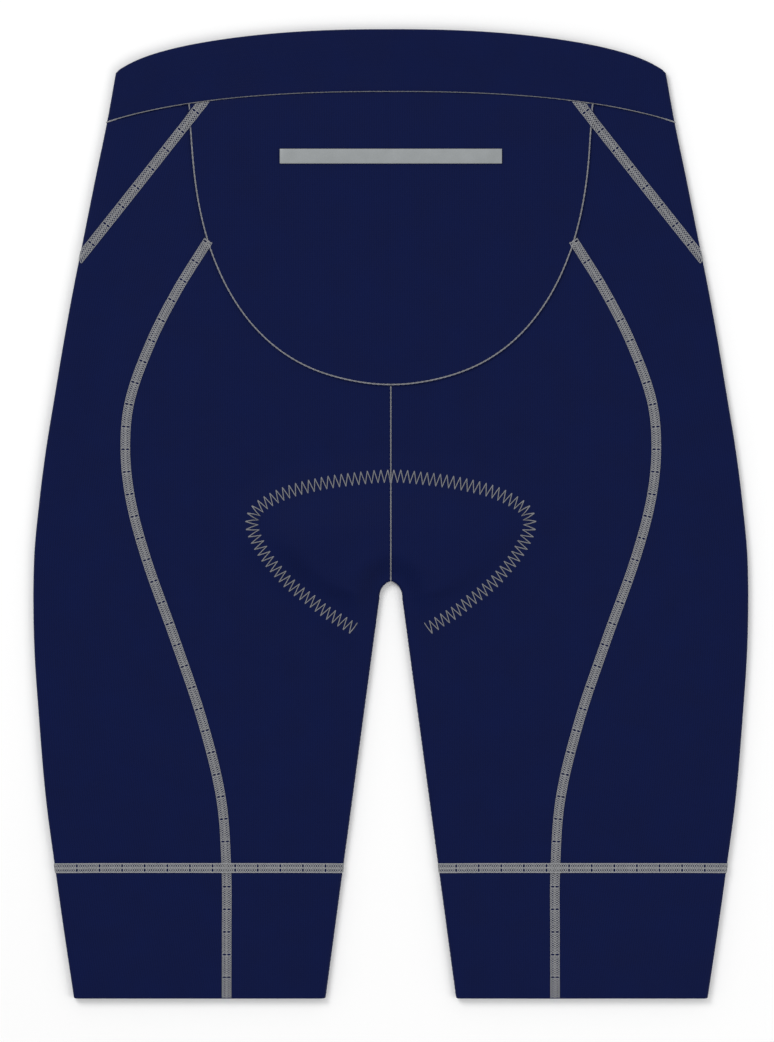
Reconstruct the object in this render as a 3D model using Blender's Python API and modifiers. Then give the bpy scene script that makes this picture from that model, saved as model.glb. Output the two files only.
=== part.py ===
"""Triathlon shorts laid flat with the back upwards, made of the pieces that are cut and sewn.

Metres. +X is across to the wearer's right, +Y runs from the hems to the waist and +Z is up. The origin is the
middle of the footprint, on the surface that the shorts lie on. In the functions below a place on the garment is
given by its distance across from the centre line and its height above the hems, which runs along +Y.

The shorts are a flattened tube whose front lies on the ground. The upper face of the back and the lower face of
the front are functions of that place. Each panel is a grid of points on these faces, thickened inwards.
"""

import math
from collections import namedtuple

import bmesh
import bpy
from mathutils import Vector

MM = 0.001

# ---- Driving sizes ----
BACK_LENGTH = 532.4 * MM  # hem to the top of the back waist
CLOTH = 1.2 * MM  # wall of a leg panel
WAISTBAND_CLOTH = 1.5 * MM  # cloth folded over elastic
WAISTBAND_LIFT = 0.5 * MM  # how far the waistband stands proud of the back panels
PATCH_CLOTH = 1.0 * MM
WELT_CLOTH = 0.8 * MM
GAP = 0.3 * MM  # between pieces that meet at a seam or lie on each other
HIP_GAP = 0.42 * MM  # wider where the slanting seam goes round the fold

FOLD_HEIGHT = 5.0 * MM  # thickness of the flattened tube at its folds and mouths
FOLD_RADIUS = 2.0 * MM
LAID_HEIGHT = 3.0 * MM  # thickness where the back lies on the front
FOLD_FADE = 25.0 * MM  # width over which the back sinks from a fold onto the front
HEM_FADE = 60.0 * MM  # the same, from the hems
WAIST_FADE = 33.0 * MM  # and from the waist, all within the waistband

CROTCH_HEIGHT = 229.4 * MM
NOTCH_RADIUS = 6.2 * MM  # rounded top of the gap between the legs
NOTCH_HEIGHT = CROTCH_HEIGHT - NOTCH_RADIUS  # centre of that round
HEM_GAP_HALF = 36.0 * MM  # centre line to the inseam at the hem
BAND_HEIGHT = 71.5 * MM  # seam between a leg and its band

WAIST_HALF = 151.0 * MM  # half width at the top of the waist
WAIST_FALL = 23.1 * MM  # top edge, from the centre back down to the side
WAIST_CORNER_SHARE = 0.18  # how much of that fall comes close to the side
WAIST_SEAM_HEIGHT = 498.6 * MM  # seam below the waistband, at the centre back
WAIST_SEAM_HALF = 155.9 * MM
WAIST_SEAM_FALL = 16.8 * MM
FRONT_DIP = 14.0 * MM  # how far the centre front is cut below the sides

HIP_SEAM_START = 100.1 * MM  # distance across at which the slanting seam leaves the waistband
HIP_SEAM_FOOT = 407.0 * MM  # its height at the side fold
HIP_TIP = 0.015  # share of the way to the fold by which the wedge's sharp ends are cut short

POCKET_HALF = 111.1 * MM
POCKET_DEPTH = 154.8 * MM
POCKET_POWER = 2.3  # of the superellipse that the patch is cut to
POCKET_FOOT_HALF = 16.0 * MM  # half width of its lowest row
MOUTH_HALF = 57.0 * MM  # slit through the patch, below the welt
MOUTH_WIDTH = 2.0 * MM
WELT_HALF = 61.0 * MM
WELT_WIDTH = 8.2 * MM
WELT_HEIGHT = 462.8 * MM

PAD_RISE = 6.0 * MM  # how far the pad lifts the seat
PAD_RIM_RISE = 1.5 * MM
PAD_SLOPE = 32.0 * MM  # width over which the pad reaches its full thickness
PAD_FADE = 16.0 * MM  # width over which the cloth comes down beside it
PAD_INSET = 5.0 * MM  # from the end of the inside fold to the pad
PAD_TIP = 9.0 * MM  # from the end of the inside fold to the outer edge of the pad's foot
PAD_FOOT = 203.3 * MM
PAD_CLEARANCE = 0.8 * MM

# Half width at the side fold, and distance across to the long curved seam, in millimetres. Above 416 mm the
# patch pocket covers that seam on the back.
Level = namedtuple("Level", "height side seam")
LEVELS = [
    Level(0.0, 174.1, 90.2),
    Level(36.0, 179.5, 90.2),
    Level(71.5, 184.5, 90.4),
    Level(110.0, 189.6, 93.6),
    Level(153.0, 193.3, 103.7),
    Level(197.0, 196.1, 118.5),
    Level(241.0, 196.1, 134.2),
    Level(274.0, 193.1, 143.0),
    Level(302.0, 189.5, 145.9),
    Level(329.0, 185.1, 143.3),
    Level(362.0, 179.6, 131.7),
    Level(390.0, 174.5, 117.4),
    Level(416.0, 169.3, 101.1),
    Level(450.0, 162.5, 80.0),
    Level(482.0, 155.9, 65.0),
    Level(510.0, 150.9, 54.0),
]

# Reach of the seat pad from the centre of the crotch's round, in millimetres, by the angle in degrees from the
# horizontal. 90 is straight up the centre back, and the first angles lie inside the leg.
Reach = namedtuple("Reach", "angle radius")
PAD_OUTLINE = [
    Reach(-45.6, 28.0),
    Reach(-28.4, 32.0),
    Reach(-15.3, 37.9),
    Reach(-4.6, 45.0),
    Reach(9.4, 61.5),
    Reach(19.1, 75.9),
    Reach(25.5, 84.5),
    Reach(31.0, 86.6),
    Reach(38.3, 82.8),
    Reach(55.5, 71.8),
    Reach(72.4, 65.4),
    Reach(90.0, 63.6),
]

# ---- Rows and columns of the grids ----
LEG_ROWS = 6  # from the leg band up to the foot of the pad
PRONG_ROWS = 2  # on to the notch
SEAM_ROWS = 20  # along the curved seam
WAIST_ROWS = 3  # along the waistband, from the curved seam to the centre line
BAND_ROWS = 3
HIP_ROWS = 3
WAISTBAND_COLUMNS = 11  # from the centre line to the fold
POCKET_ROWS = 10
POCKET_COLUMNS = 12
WELT_COLUMNS = 8
PAD_COLUMNS = 3

NAVY = (0.0056, 0.0097, 0.0513)
GREY = (0.314, 0.332, 0.337)
PAD_BLUE = (0.03, 0.04, 0.09)


# ---- Small helpers ----
def mix(a, b, share):
    return a + (b - a) * share


def eased(share):
    """0 below 0, 1 above 1, and a smooth step between."""
    share = min(max(share, 0.0), 1.0)
    return share * share * (3 - 2 * share)


def spread(first, last, intervals):
    """Evenly spaced values from first to last, both included."""
    return [mix(first, last, i / intervals) for i in range(intervals + 1)]


def curve_through(pairs, at):
    """Smooth curve through (key, value) pairs, its slope at each taken from the neighbours."""

    def slope(i):
        (key0, value0), (key1, value1) = pairs[max(i - 1, 0)], pairs[min(i + 1, len(pairs) - 1)]
        return (value1 - value0) / (key1 - key0)

    at = min(max(at, pairs[0][0]), pairs[-1][0])
    i = next(n for n in range(len(pairs) - 1) if at <= pairs[n + 1][0])
    (key0, value0), (key1, value1) = pairs[i], pairs[i + 1]
    step = key1 - key0
    t = (at - key0) / step
    return mix(value0, value1, eased(t)) + step * t * (1 - t) * (slope(i) * (1 - t) - slope(i + 1) * t)


# ---- Outlines ----
def side_at(height):
    """Half width of the shorts, out to the fold at the side."""
    return MM * curve_through([(level.height, level.side) for level in LEVELS], height / MM)


def seam_at(height):
    """Distance across to the long curved seam."""
    return MM * curve_through([(level.height, level.seam) for level in LEVELS], height / MM)


def seam_gap(height):
    """Half the gap at the curved seam, measured across."""
    lean = (seam_at(height + MM) - seam_at(height - MM)) / (2 * MM)
    return GAP / 2 * math.hypot(1.0, lean)


def inseam_at(height):
    """Distance across to the inside fold of a leg."""
    return mix(HEM_GAP_HALF, NOTCH_RADIUS, height / NOTCH_HEIGHT)


def waist_top(across, front):
    """Height of the top edge of the waistband."""
    share = abs(across) / WAIST_HALF
    if front:
        return BACK_LENGTH - WAIST_FALL - FRONT_DIP * (1 - share**2)
    return BACK_LENGTH - WAIST_FALL * mix(share**3, share**12, WAIST_CORNER_SHARE)


def waist_seam(across, front):
    """Height of the seam below the waistband."""
    share = abs(across) / WAIST_SEAM_HALF
    if front:
        return WAIST_SEAM_HEIGHT - WAIST_SEAM_FALL - FRONT_DIP * (1 - share**2)
    return WAIST_SEAM_HEIGHT - WAIST_SEAM_FALL * share**3


def hip_seam(across):
    """Height of the slanting seam, which is straight and runs out to the side fold."""
    side = side_at(HIP_SEAM_FOOT)
    rise = waist_seam(HIP_SEAM_START, False) - HIP_SEAM_FOOT
    return HIP_SEAM_FOOT + rise * (side - across) / (side - HIP_SEAM_START)


def hip_gap():
    """Half the gap at the slanting seam, measured upwards."""
    return HIP_GAP / 2 * math.hypot(1.0, (hip_seam(0.0) - hip_seam(MM)) / MM)


def hip_corner(front):
    """Share of the way from the curved seam to the fold at which the slanting seam leaves the waistband."""
    across = HIP_SEAM_START
    for _ in range(40):
        across += (hip_seam(across) - waist_seam(across, front)) / 2
    height = waist_seam(across, front)
    return (across - seam_at(height)) / (side_at(height) - FOLD_RADIUS - seam_at(height))


# ---- The two outer faces of the laid garment ----
def fold_distance(across, height):
    """Distance from the inside fold of a leg, or from the round at the crotch."""
    if height > NOTCH_HEIGHT:
        return math.hypot(across, height - NOTCH_HEIGHT) - NOTCH_RADIUS
    return across - inseam_at(height)


def pad_depth(across, height):
    """Distance inside the outline of the pad, negative outside it."""
    angle = math.degrees(math.atan2(height - NOTCH_HEIGHT, across))
    reach = MM * curve_through(PAD_OUTLINE, angle)
    return reach - math.hypot(across, height - NOTCH_HEIGHT)


def pad_rise(across, height):
    """How far the pad lifts the back."""
    depth = pad_depth(across, height)
    rise = mix(PAD_RIM_RISE, PAD_RISE, eased(depth / PAD_SLOPE)) * eased(1 + depth / PAD_FADE)
    return rise * eased((fold_distance(across, height) - FOLD_RADIUS) / (3 * PAD_INSET))


def rounding(distance):
    """How far a face has turned away from level, this close to a fold."""
    inward = FOLD_RADIUS - min(max(distance, 0.0), FOLD_RADIUS)
    return FOLD_RADIUS - math.sqrt(FOLD_RADIUS**2 - inward**2)


def back_face(across, height):
    """Height above the ground of the outer face of the back."""
    across = abs(across)
    side = side_at(height) - across
    inside = fold_distance(across, height)
    settled = eased((side - FOLD_RADIUS) / FOLD_FADE)
    settled *= eased((inside - FOLD_RADIUS) / FOLD_FADE)
    settled *= eased(height / HEM_FADE)
    settled *= eased((waist_top(across, False) - height) / WAIST_FADE)
    laid = mix(FOLD_HEIGHT, LAID_HEIGHT, settled)
    return laid + pad_rise(across, height) - rounding(min(side, inside))


def front_face(across, height):
    """Height above the ground of the outer face of the front, which is flat but for its folds."""
    across = abs(across)
    return rounding(min(side_at(height) - across, fold_distance(across, height)))


def half_fold(front):
    """Places round half of a fold, from mid-height: distance in from the fold, and height above the ground."""
    bend = FOLD_RADIUS * (1 - math.sqrt(0.5))
    places = [(0.0, FOLD_HEIGHT - FOLD_RADIUS), (bend, FOLD_HEIGHT - bend), (FOLD_RADIUS, FOLD_HEIGHT)]
    return [(inset, FOLD_HEIGHT - above if front else above) for inset, above in places]


def rimmed_fold(front):
    """The same, starting at the edge of a panel that ends at the fold."""
    rim = (FOLD_HEIGHT + GAP) / 2
    return [(0.0, FOLD_HEIGHT - rim if front else rim)] + half_fold(front)


# ---- Grids of points ----
def point(across, height, above):
    return Vector((across, height - BACK_LENGTH / 2, above))


def mirrored(grid):
    return [[Vector((-p.x, p.y, p.z)) for p in row] for row in grid]


def height_on(line, across_at):
    """Height at which a column crosses a line. Each is a function: line of how far across, and the column's own
    distance across of the height."""
    height = WAIST_SEAM_HEIGHT
    for _ in range(30):
        height = line(across_at(height))
    return height


def row_ends(front):
    """Ends of the rows of a front or back panel: up the curved seam, then along the waistband to the centre."""
    top = height_on(lambda across: waist_seam(across, front) - GAP / 2, seam_at)
    ends = [Vector((seam_at(up) - seam_gap(up), up)) for up in spread(BAND_HEIGHT + GAP / 2, top, SEAM_ROWS)]
    for across in spread(ends[-1].x, GAP / 2, WAIST_ROWS)[1:]:
        ends.append(Vector((across, waist_seam(across, front) - GAP / 2)))
    return ends


def fan_rows(front):
    """Start on the inside fold, direction away from it, and end of each row of a front or back panel. The rows
    climb the inseam and then turn about the crotch, until the last runs up the centre line."""
    heights = spread(BAND_HEIGHT + GAP / 2, PAD_FOOT, LEG_ROWS)
    heights += spread(PAD_FOOT, NOTCH_HEIGHT, PRONG_ROWS)[1:]
    starts = [(Vector((inseam_at(height), height)), Vector((1.0, 0.0))) for height in heights]
    ends = row_ends(front)
    for turn in spread(0.0, math.pi / 2, len(ends) - len(starts))[1:]:
        away = Vector((math.cos(turn), math.sin(turn)))
        start = Vector((0.0, NOTCH_HEIGHT)) + away * NOTCH_RADIUS
        starts.append((Vector((max(start.x, GAP / 2), start.y)), away))
    return [(start, away, end) for (start, away), end in zip(starts, ends)]


def pad_edge(start, end):
    """Distance along a row of the back panel to the outer edge of the pad."""
    length = (end - start).length
    near, far = PAD_INSET, length
    for _ in range(30):
        middle = (near + far) / 2
        if pad_depth(*start.lerp(end, middle / length)) > 0:
            near = middle
        else:
            far = middle
    return max(near, PAD_TIP)


def over_pad(start, end):
    """Distances along a row of the back panel at which it has its points over the pad."""
    return spread(PAD_INSET, pad_edge(start, end), PAD_COLUMNS)


def leg_panel(front):
    """Grid of a front or back panel on the +X side."""
    face = front_face if front else back_face
    grid = []
    for start, away, end in fan_rows(front):
        row = [point(*(start + away * inset), above) for inset, above in rimmed_fold(front)]
        flat = start + away * FOLD_RADIUS
        length = (end - flat).length
        distances = [length / 2, length]
        if not front:
            distances = over_pad(flat, end)
            distances += spread(distances[-1] + PAD_FADE, length, 3)
        for distance in distances:
            place = flat.lerp(end, distance / length)
            row.append(point(*place, face(*place)))
        grid.append(row)
    return grid


# A column of a panel that goes round the side fold: its distance across as a function of height, its height above
# the ground as a function of both, whether it belongs to the front, and its share of the way to the fold.
Column = namedtuple("Column", "across_at face front share")


def wrapping_columns(start_at, back_shares, front_shares, lift=0.0):
    """Columns from start_at(height) on the back, round the side fold, to the same distance on the front. The back
    is lifted as far as the last column before the fold."""

    def flat(share, front):
        raised = 0.0 if front or share == 1.0 else lift

        def across_at(height):
            return mix(start_at(height), side_at(height) - FOLD_RADIUS, share)

        def face(across, height):
            return (front_face if front else back_face)(across, height) + raised

        return Column(across_at, face, front, share)

    def turned(inset, above, front):
        return Column(lambda height: side_at(height) - inset, lambda across, height: above, front, 1.0)

    columns = [flat(share, False) for share in back_shares]
    columns += [turned(inset, above, False) for inset, above in half_fold(False)[1::-1]]
    columns += [turned(inset, above, True) for inset, above in half_fold(True)[:2]]
    return columns + [flat(share, True) for share in front_shares]


def column_grid(columns, foot_of, top_of, intervals):
    """Grid of points up each column, from its foot to its top."""
    grid = []
    for column in columns:
        heights = spread(foot_of(column), top_of(column), intervals)
        places = [(column.across_at(height), height) for height in heights]
        grid.append([point(*place, column.face(*place)) for place in places])
    return [list(row) for row in zip(*grid)]


def seam_edge(height):
    """Distance across to the edge of the side panel at the curved seam."""
    return seam_at(height) + seam_gap(height)


def below_waist(column):
    return height_on(lambda across: waist_seam(across, column.front) - GAP / 2, column.across_at)


def side_panel():
    """Grid of the outer leg panel on the +X side. It ends at the waistband, and then at the slanting seam."""
    back, front = hip_corner(False), hip_corner(True)
    back_shares = [0.0, back / 2, back, mix(back, 1, 0.4), mix(back, 1, 0.75), 1.0]
    front_shares = [1.0, mix(front, 1.0, 0.4), front, 0.0]

    def top_of(column):
        if column.share > (front if column.front else back):
            return height_on(lambda across: hip_seam(across) - hip_gap(), column.across_at)
        return below_waist(column)

    columns = wrapping_columns(seam_edge, back_shares, front_shares)
    return column_grid(columns, lambda column: BAND_HEIGHT + GAP / 2, top_of, SEAM_ROWS)


def hip_panel():
    """Grid of the wedge between the slanting seam and the waistband on the +X side."""
    back, front = hip_corner(False), hip_corner(True)
    back_shares = [back + HIP_TIP, mix(back, 1, 0.4), mix(back, 1, 0.75), 1.0]
    front_shares = [1.0, mix(front, 1.0, 0.4), front + HIP_TIP]

    def foot_of(column):
        return height_on(lambda across: hip_seam(across) + hip_gap(), column.across_at)

    return column_grid(wrapping_columns(seam_edge, back_shares, front_shares), foot_of, below_waist, HIP_ROWS)


def inner_band(front):
    """Grid of the front or back piece of a leg band on the +X side."""
    face = front_face if front else back_face
    grid = []
    for height in spread(0.0, BAND_HEIGHT - GAP / 2, BAND_ROWS):
        inside, seam = inseam_at(height), seam_at(height) - seam_gap(height)
        row = [point(inside + inset, height, above) for inset, above in rimmed_fold(front)]
        for across in spread(inside + FOLD_RADIUS, seam, 2 if front else 3)[1:]:
            row.append(point(across, height, face(across, height)))
        grid.append(row)
    return grid


def side_band():
    """Grid of the side piece of a leg band on the +X side."""
    columns = wrapping_columns(seam_edge, [0.0, 0.4, 0.75, 1.0], [1.0, 0.5, 0.0])
    return column_grid(columns, lambda column: 0.0, lambda column: BAND_HEIGHT - GAP / 2, BAND_ROWS)


def waistband():
    """Grid of the waistband all the way round, whose last column lies on its first."""

    def foot_of(column):
        return height_on(lambda across: waist_seam(across, column.front) + GAP / 2, column.across_at)

    def top_of(column):
        return height_on(lambda across: waist_top(across, column.front), column.across_at)

    shares = spread(0.0, 1.0, WAISTBAND_COLUMNS)
    columns = wrapping_columns(lambda height: 0.0, shares, shares[::-1], WAISTBAND_LIFT)
    right = column_grid(columns, foot_of, top_of, BAND_ROWS)
    return [right_row + left_row[-2::-1] for right_row, left_row in zip(right, mirrored(right))]


def pocket_panel():
    """Grid of the patch pocket, half of a superellipse hung from the waistband."""
    lift = GAP + PATCH_CLOTH
    corner = waist_seam(POCKET_HALF, False) - GAP / 2
    first_turn = math.asin((POCKET_FOOT_HALF / POCKET_HALF) ** (POCKET_POWER / 2))
    grid = []
    for row_number, turn in enumerate(spread(first_turn, math.pi / 2, POCKET_ROWS)):
        half = POCKET_HALF * math.sin(turn) ** (2 / POCKET_POWER)
        drop = POCKET_DEPTH * abs(math.cos(turn)) ** (2 / POCKET_POWER)
        up = row_number / POCKET_ROWS
        foot_crown = POCKET_DEPTH * (math.cos(first_turn) ** (2 / POCKET_POWER) - 1)
        crown = mix(foot_crown, WAIST_SEAM_HEIGHT - GAP / 2 - corner, up)
        power = mix(POCKET_POWER, 3.0, up)
        row = []
        for share in spread(-1.0, 1.0, POCKET_COLUMNS):
            across, height = share * half, corner - drop + crown * (1 - abs(share) ** power)
            row.append(point(across, height, back_face(across, height) + lift))
        grid.append(row)
    return grid


def pocket_welt():
    """Grid of the strip over the pocket's mouth."""
    lift = 2 * GAP + PATCH_CLOTH + WELT_CLOTH
    heights = spread(WELT_HEIGHT - WELT_WIDTH / 2, WELT_HEIGHT + WELT_WIDTH / 2, 1)
    acrosses = spread(-WELT_HALF, WELT_HALF, WELT_COLUMNS)
    return [[point(across, up, back_face(across, up) + lift) for across in acrosses] for up in heights]


def seat_pad_top():
    """Grid of the pad's upper face, from its foot in one leg, over the crotch, to its foot in the other."""
    down = CLOTH + PAD_CLEARANCE
    right = []
    for start, away, end in fan_rows(False)[LEG_ROWS:]:
        flat = start + away * FOLD_RADIUS
        length = (end - flat).length
        places = [flat.lerp(end, distance / length) for distance in over_pad(flat, end)]
        right.append([point(*place, back_face(*place) - down) for place in places])
    right[-1] = [Vector((0.0, p.y, p.z)) for p in right[-1]]
    return right + mirrored(right)[-2::-1]


# ---- Objects ----
def material(name, colour, roughness):
    made = bpy.data.materials.new(name)
    made.use_nodes = True
    shader = made.node_tree.nodes["Principled BSDF"]
    shader.inputs["Base Color"].default_value = (*colour, 1.0)
    shader.inputs["Roughness"].default_value = roughness
    shader.inputs["Metallic"].default_value = 0.0
    return made


def grid_bmesh(grid, turned_over=False):
    """Mesh of a grid of points. Its faces look up unless they are turned over."""
    made = bmesh.new()
    bmesh.ops.create_grid(made, x_segments=len(grid[0]) - 1, y_segments=len(grid) - 1, size=1.0)
    for vert, co in zip(made.verts, (p for row in grid for p in row)):
        vert.co = co
    if turned_over:
        bmesh.ops.reverse_faces(made, faces=made.faces)
    return made


def add_object(name, made, collection):
    mesh = bpy.data.meshes.new(name)
    made.to_mesh(mesh)
    made.free()
    piece = bpy.data.objects.new(name, mesh)
    collection.objects.link(piece)
    return piece


def add_cloth(name, made, wall, collection, colour, roughness):
    """Panel of cloth: an open surface, its outer face, with the wall's thickness added inwards."""
    piece = add_object(name, made, collection)
    piece.data.materials.append(material(name, colour, roughness))
    solid = piece.modifiers.new("Wall", "SOLIDIFY")
    solid.thickness = wall
    solid.offset = -1.0
    solid.use_even_offset = True
    solid.use_quality_normals = True
    return piece


def add_pad(name, collection):
    """Seat pad: its upper face, with sides down to a flat underside just above the front."""
    made = grid_bmesh(seat_pad_top())
    under = bmesh.ops.extrude_face_region(made, geom=list(made.faces), use_keep_orig=True)
    for item in under["geom"]:
        if isinstance(item, bmesh.types.BMVert):
            item.co.z = CLOTH + GAP
    bmesh.ops.recalc_face_normals(made, faces=made.faces)
    piece = add_object(name, made, collection)
    piece.data.materials.append(material(name, PAD_BLUE, 0.9))


def add_pocket_mouth(piece, cutters):
    """Slit through the patch pocket, hidden below the welt."""
    made = bmesh.new()
    bmesh.ops.create_cube(made, size=1.0)
    bmesh.ops.scale(made, vec=(2 * MOUTH_HALF, MOUTH_WIDTH, 20 * MM), verts=made.verts)
    cutter = add_object("pocket_mouth_cutter", made, cutters)
    cutter.location = point(0.0, WELT_HEIGHT, 0.0)
    cutter.hide_render = True
    cutter.display_type = "WIRE"
    cut = piece.modifiers.new("Mouth", "BOOLEAN")
    cut.operation = "DIFFERENCE"
    cut.solver = "EXACT"
    cut.object = cutter


def main():
    for old in list(bpy.data.objects):
        bpy.data.objects.remove(old, do_unlink=True)
    shorts = bpy.data.collections.new("triathlon_shorts")
    cutters = bpy.data.collections.new("cutters")
    bpy.context.scene.collection.children.link(shorts)
    bpy.context.scene.collection.children.link(cutters)

    panels = [
        ("back_panel", leg_panel(False), False),
        ("front_panel", leg_panel(True), True),
        ("side_panel", side_panel(), False),
        ("hip_panel", hip_panel(), False),
        ("hem_band_back", inner_band(False), False),
        ("hem_band_front", inner_band(True), True),
        ("hem_band_side", side_band(), False),
    ]
    for name, grid, faces_down in panels:
        add_cloth(f"{name}_right", grid_bmesh(grid, faces_down), CLOTH, shorts, NAVY, 0.75)
        add_cloth(f"{name}_left", grid_bmesh(mirrored(grid), not faces_down), CLOTH, shorts, NAVY, 0.75)

    ring = grid_bmesh(waistband())
    bmesh.ops.remove_doubles(ring, verts=ring.verts, dist=0.00001)
    add_cloth("waistband", ring, WAISTBAND_CLOTH, shorts, NAVY, 0.7)
    patch = add_cloth("pocket_panel", grid_bmesh(pocket_panel()), PATCH_CLOTH, shorts, NAVY, 0.75)
    add_pocket_mouth(patch, cutters)
    add_cloth("pocket_welt", grid_bmesh(pocket_welt()), WELT_CLOTH, shorts, GREY, 0.45)
    add_pad("seat_pad", shorts)


main()
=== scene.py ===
"""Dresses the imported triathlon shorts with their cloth, seams, pad and studio.

Metres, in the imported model's frame: +X is across to the wearer's right, +Y runs from the hems to the waist
and +Z is up. The shorts lie on their front. A place on them is given by its distance across from the centre
line and its height above the hems. Close to a fold the distance across goes on round the fold, as if the
cloth were flat.
"""

import logging
import math
from contextlib import contextmanager
from dataclasses import dataclass, field
from enum import Enum
from typing import Any, Callable, Iterator, NamedTuple, Sequence

import bmesh
import bpy
import numpy as np
from bmesh.types import BMesh
from bpy.types import Material, Mesh, NodeSocket, NodeTree, Object
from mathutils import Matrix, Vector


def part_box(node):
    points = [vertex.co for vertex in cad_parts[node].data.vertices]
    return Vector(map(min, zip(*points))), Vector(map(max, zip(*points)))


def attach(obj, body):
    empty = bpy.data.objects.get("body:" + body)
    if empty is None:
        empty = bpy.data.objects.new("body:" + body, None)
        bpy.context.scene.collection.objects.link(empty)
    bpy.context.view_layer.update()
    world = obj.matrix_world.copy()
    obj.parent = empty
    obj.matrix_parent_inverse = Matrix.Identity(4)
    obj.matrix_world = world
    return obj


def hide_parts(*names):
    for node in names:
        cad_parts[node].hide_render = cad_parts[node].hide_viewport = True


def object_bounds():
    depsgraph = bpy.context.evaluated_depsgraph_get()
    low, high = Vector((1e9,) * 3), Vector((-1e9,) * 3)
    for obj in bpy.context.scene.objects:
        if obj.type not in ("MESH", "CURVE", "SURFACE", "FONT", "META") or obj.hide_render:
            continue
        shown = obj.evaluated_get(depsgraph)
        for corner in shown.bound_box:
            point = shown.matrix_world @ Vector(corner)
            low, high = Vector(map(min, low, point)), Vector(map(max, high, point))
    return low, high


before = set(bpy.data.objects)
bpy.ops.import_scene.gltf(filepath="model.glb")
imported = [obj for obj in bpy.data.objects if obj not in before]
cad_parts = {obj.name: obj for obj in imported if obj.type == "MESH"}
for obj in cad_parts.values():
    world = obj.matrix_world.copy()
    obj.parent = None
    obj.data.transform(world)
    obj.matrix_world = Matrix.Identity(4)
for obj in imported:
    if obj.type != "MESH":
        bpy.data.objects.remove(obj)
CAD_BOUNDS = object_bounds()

MM = 0.001
BODY = "root"
PAD_NAME = "seat_pad_padding"
HALF_GAP = 0.15 * MM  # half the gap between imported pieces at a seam
Array = np.ndarray
Line = Callable[[Array], Array]
Lift = Callable[[Array, Array], Array]
log = logging.getLogger("triathlon_shorts")


class Face(Enum):
    """Which layer of the laid tube a piece belongs to."""

    BACK = "back"
    FRONT = "front"

    @property
    def upward(self) -> int:
        """1 where the outer face looks up, and -1 where it looks down."""
        return 1 if self is Face.BACK else -1


class Hand(Enum):
    """Side of the wearer. The value is the sign of X there."""

    RIGHT = 1
    LEFT = -1

    @property
    def side(self) -> str:
        """The side as a word, for names."""
        return self.name.lower()


Layer = Callable[[Face, Hand], tuple[Array, Array]]


# ---- Arithmetic ----
def mix(first: Any, last: Any, share: Any) -> Any:
    """Value the given share of the way from first to last."""
    return first + (last - first) * share


def eased(share: Any) -> Any:
    """0 below 0, 1 above 1, and a smooth step between."""
    share = np.clip(share, 0.0, 1.0)
    return share * share * (3 - 2 * share)


def bell(distance: Any, width: float) -> Any:
    """1 at no distance, fading to nothing over about twice the width."""
    return np.exp(-((distance / width) ** 2))


def smooth_curve(keys: Sequence[float], values: Sequence[float], at: Any) -> Any:
    """Reads a smooth curve through a few pairs, its slope at each taken from the neighbours.

    Args:
        keys: rising places of the pairs.
        values: value at each of them.
        at: where to read the curve, held within the keys.

    Returns:
        The values there, of the same shape as at.
    """
    key, value = np.array(keys), np.array(values)
    slope = np.gradient(value)
    slope[1:-1] = (value[2:] - value[:-2]) / (key[2:] - key[:-2])
    slope[0] = (value[1] - value[0]) / (key[1] - key[0])
    slope[-1] = (value[-1] - value[-2]) / (key[-1] - key[-2])
    at = np.clip(at, key[0], key[-1])
    i = np.clip(np.searchsorted(key, at, side="right") - 1, 0, len(key) - 2)
    step = key[i + 1] - key[i]
    t = (at - key[i]) / step
    bow = step * t * (1 - t) * (slope[i] * (1 - t) - slope[i + 1] * t)
    return mix(value[i], value[i + 1], eased(t)) + bow


def graded_from(length: float, fine: float, coarse: float, grow: float = 12 * MM) -> Array:
    """Shares from 0 to 1 of a typical length, whose steps grow from fine at the start to coarse.

    Args:
        length: typical length that is divided.
        fine: the first step.
        coarse: the last step.
        grow: length over which the steps grow.

    Returns:
        The shares, rising.
    """
    at, places = 0.0, [0.0]
    while at < length:
        at += float(mix(fine, coarse, eased(at / grow)))
        places.append(at)
    return np.array(places) / places[-1]


def graded(length: float, fine: float, coarse: float) -> Array:
    """The same, fine at both ends."""
    half = graded_from(length / 2, fine, coarse) / 2
    return np.concatenate([half, 1 - half[-2::-1]])


def run_lengths(places: Array) -> Array:
    """Distance of each of a row of places from the first."""
    return np.concatenate([[0], np.cumsum(np.hypot(*np.diff(places, axis=0).T))])


def settle(step: Callable[[Any], Any], value: Any, rounds: int = 40) -> Any:
    """Value that a step no longer changes, after enough rounds of it.

    Args:
        step: the step.
        value: where it starts.
        rounds: how often it is made.

    Returns:
        The value.
    """
    for _ in range(rounds):
        value = step(value)
    return value


def meeting(line: Line, across_at: Line, start: Array) -> Array:
    """Heights at which columns cross a line, by its height and their distance across, from a first guess."""
    return settle(lambda height: line(across_at(height)), start, 30)


# ---- The form of the laid garment ----
class Level(NamedTuple):
    """Half width at the side fold and distance across to the long curved seam, in millimetres."""

    height: float
    side: float
    seam: float


class Reach(NamedTuple):
    """Reach of the pad from the middle of its inner round, in millimetres, at an angle in degrees."""

    angle: float
    radius: float


class Crease(NamedTuple):
    """Soft ridge, or trough if its rise is negative, between two places on a face, in millimetres."""

    face: Face
    from_across: float
    from_height: float
    to_across: float
    to_height: float
    half_width: float
    rise: float


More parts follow.
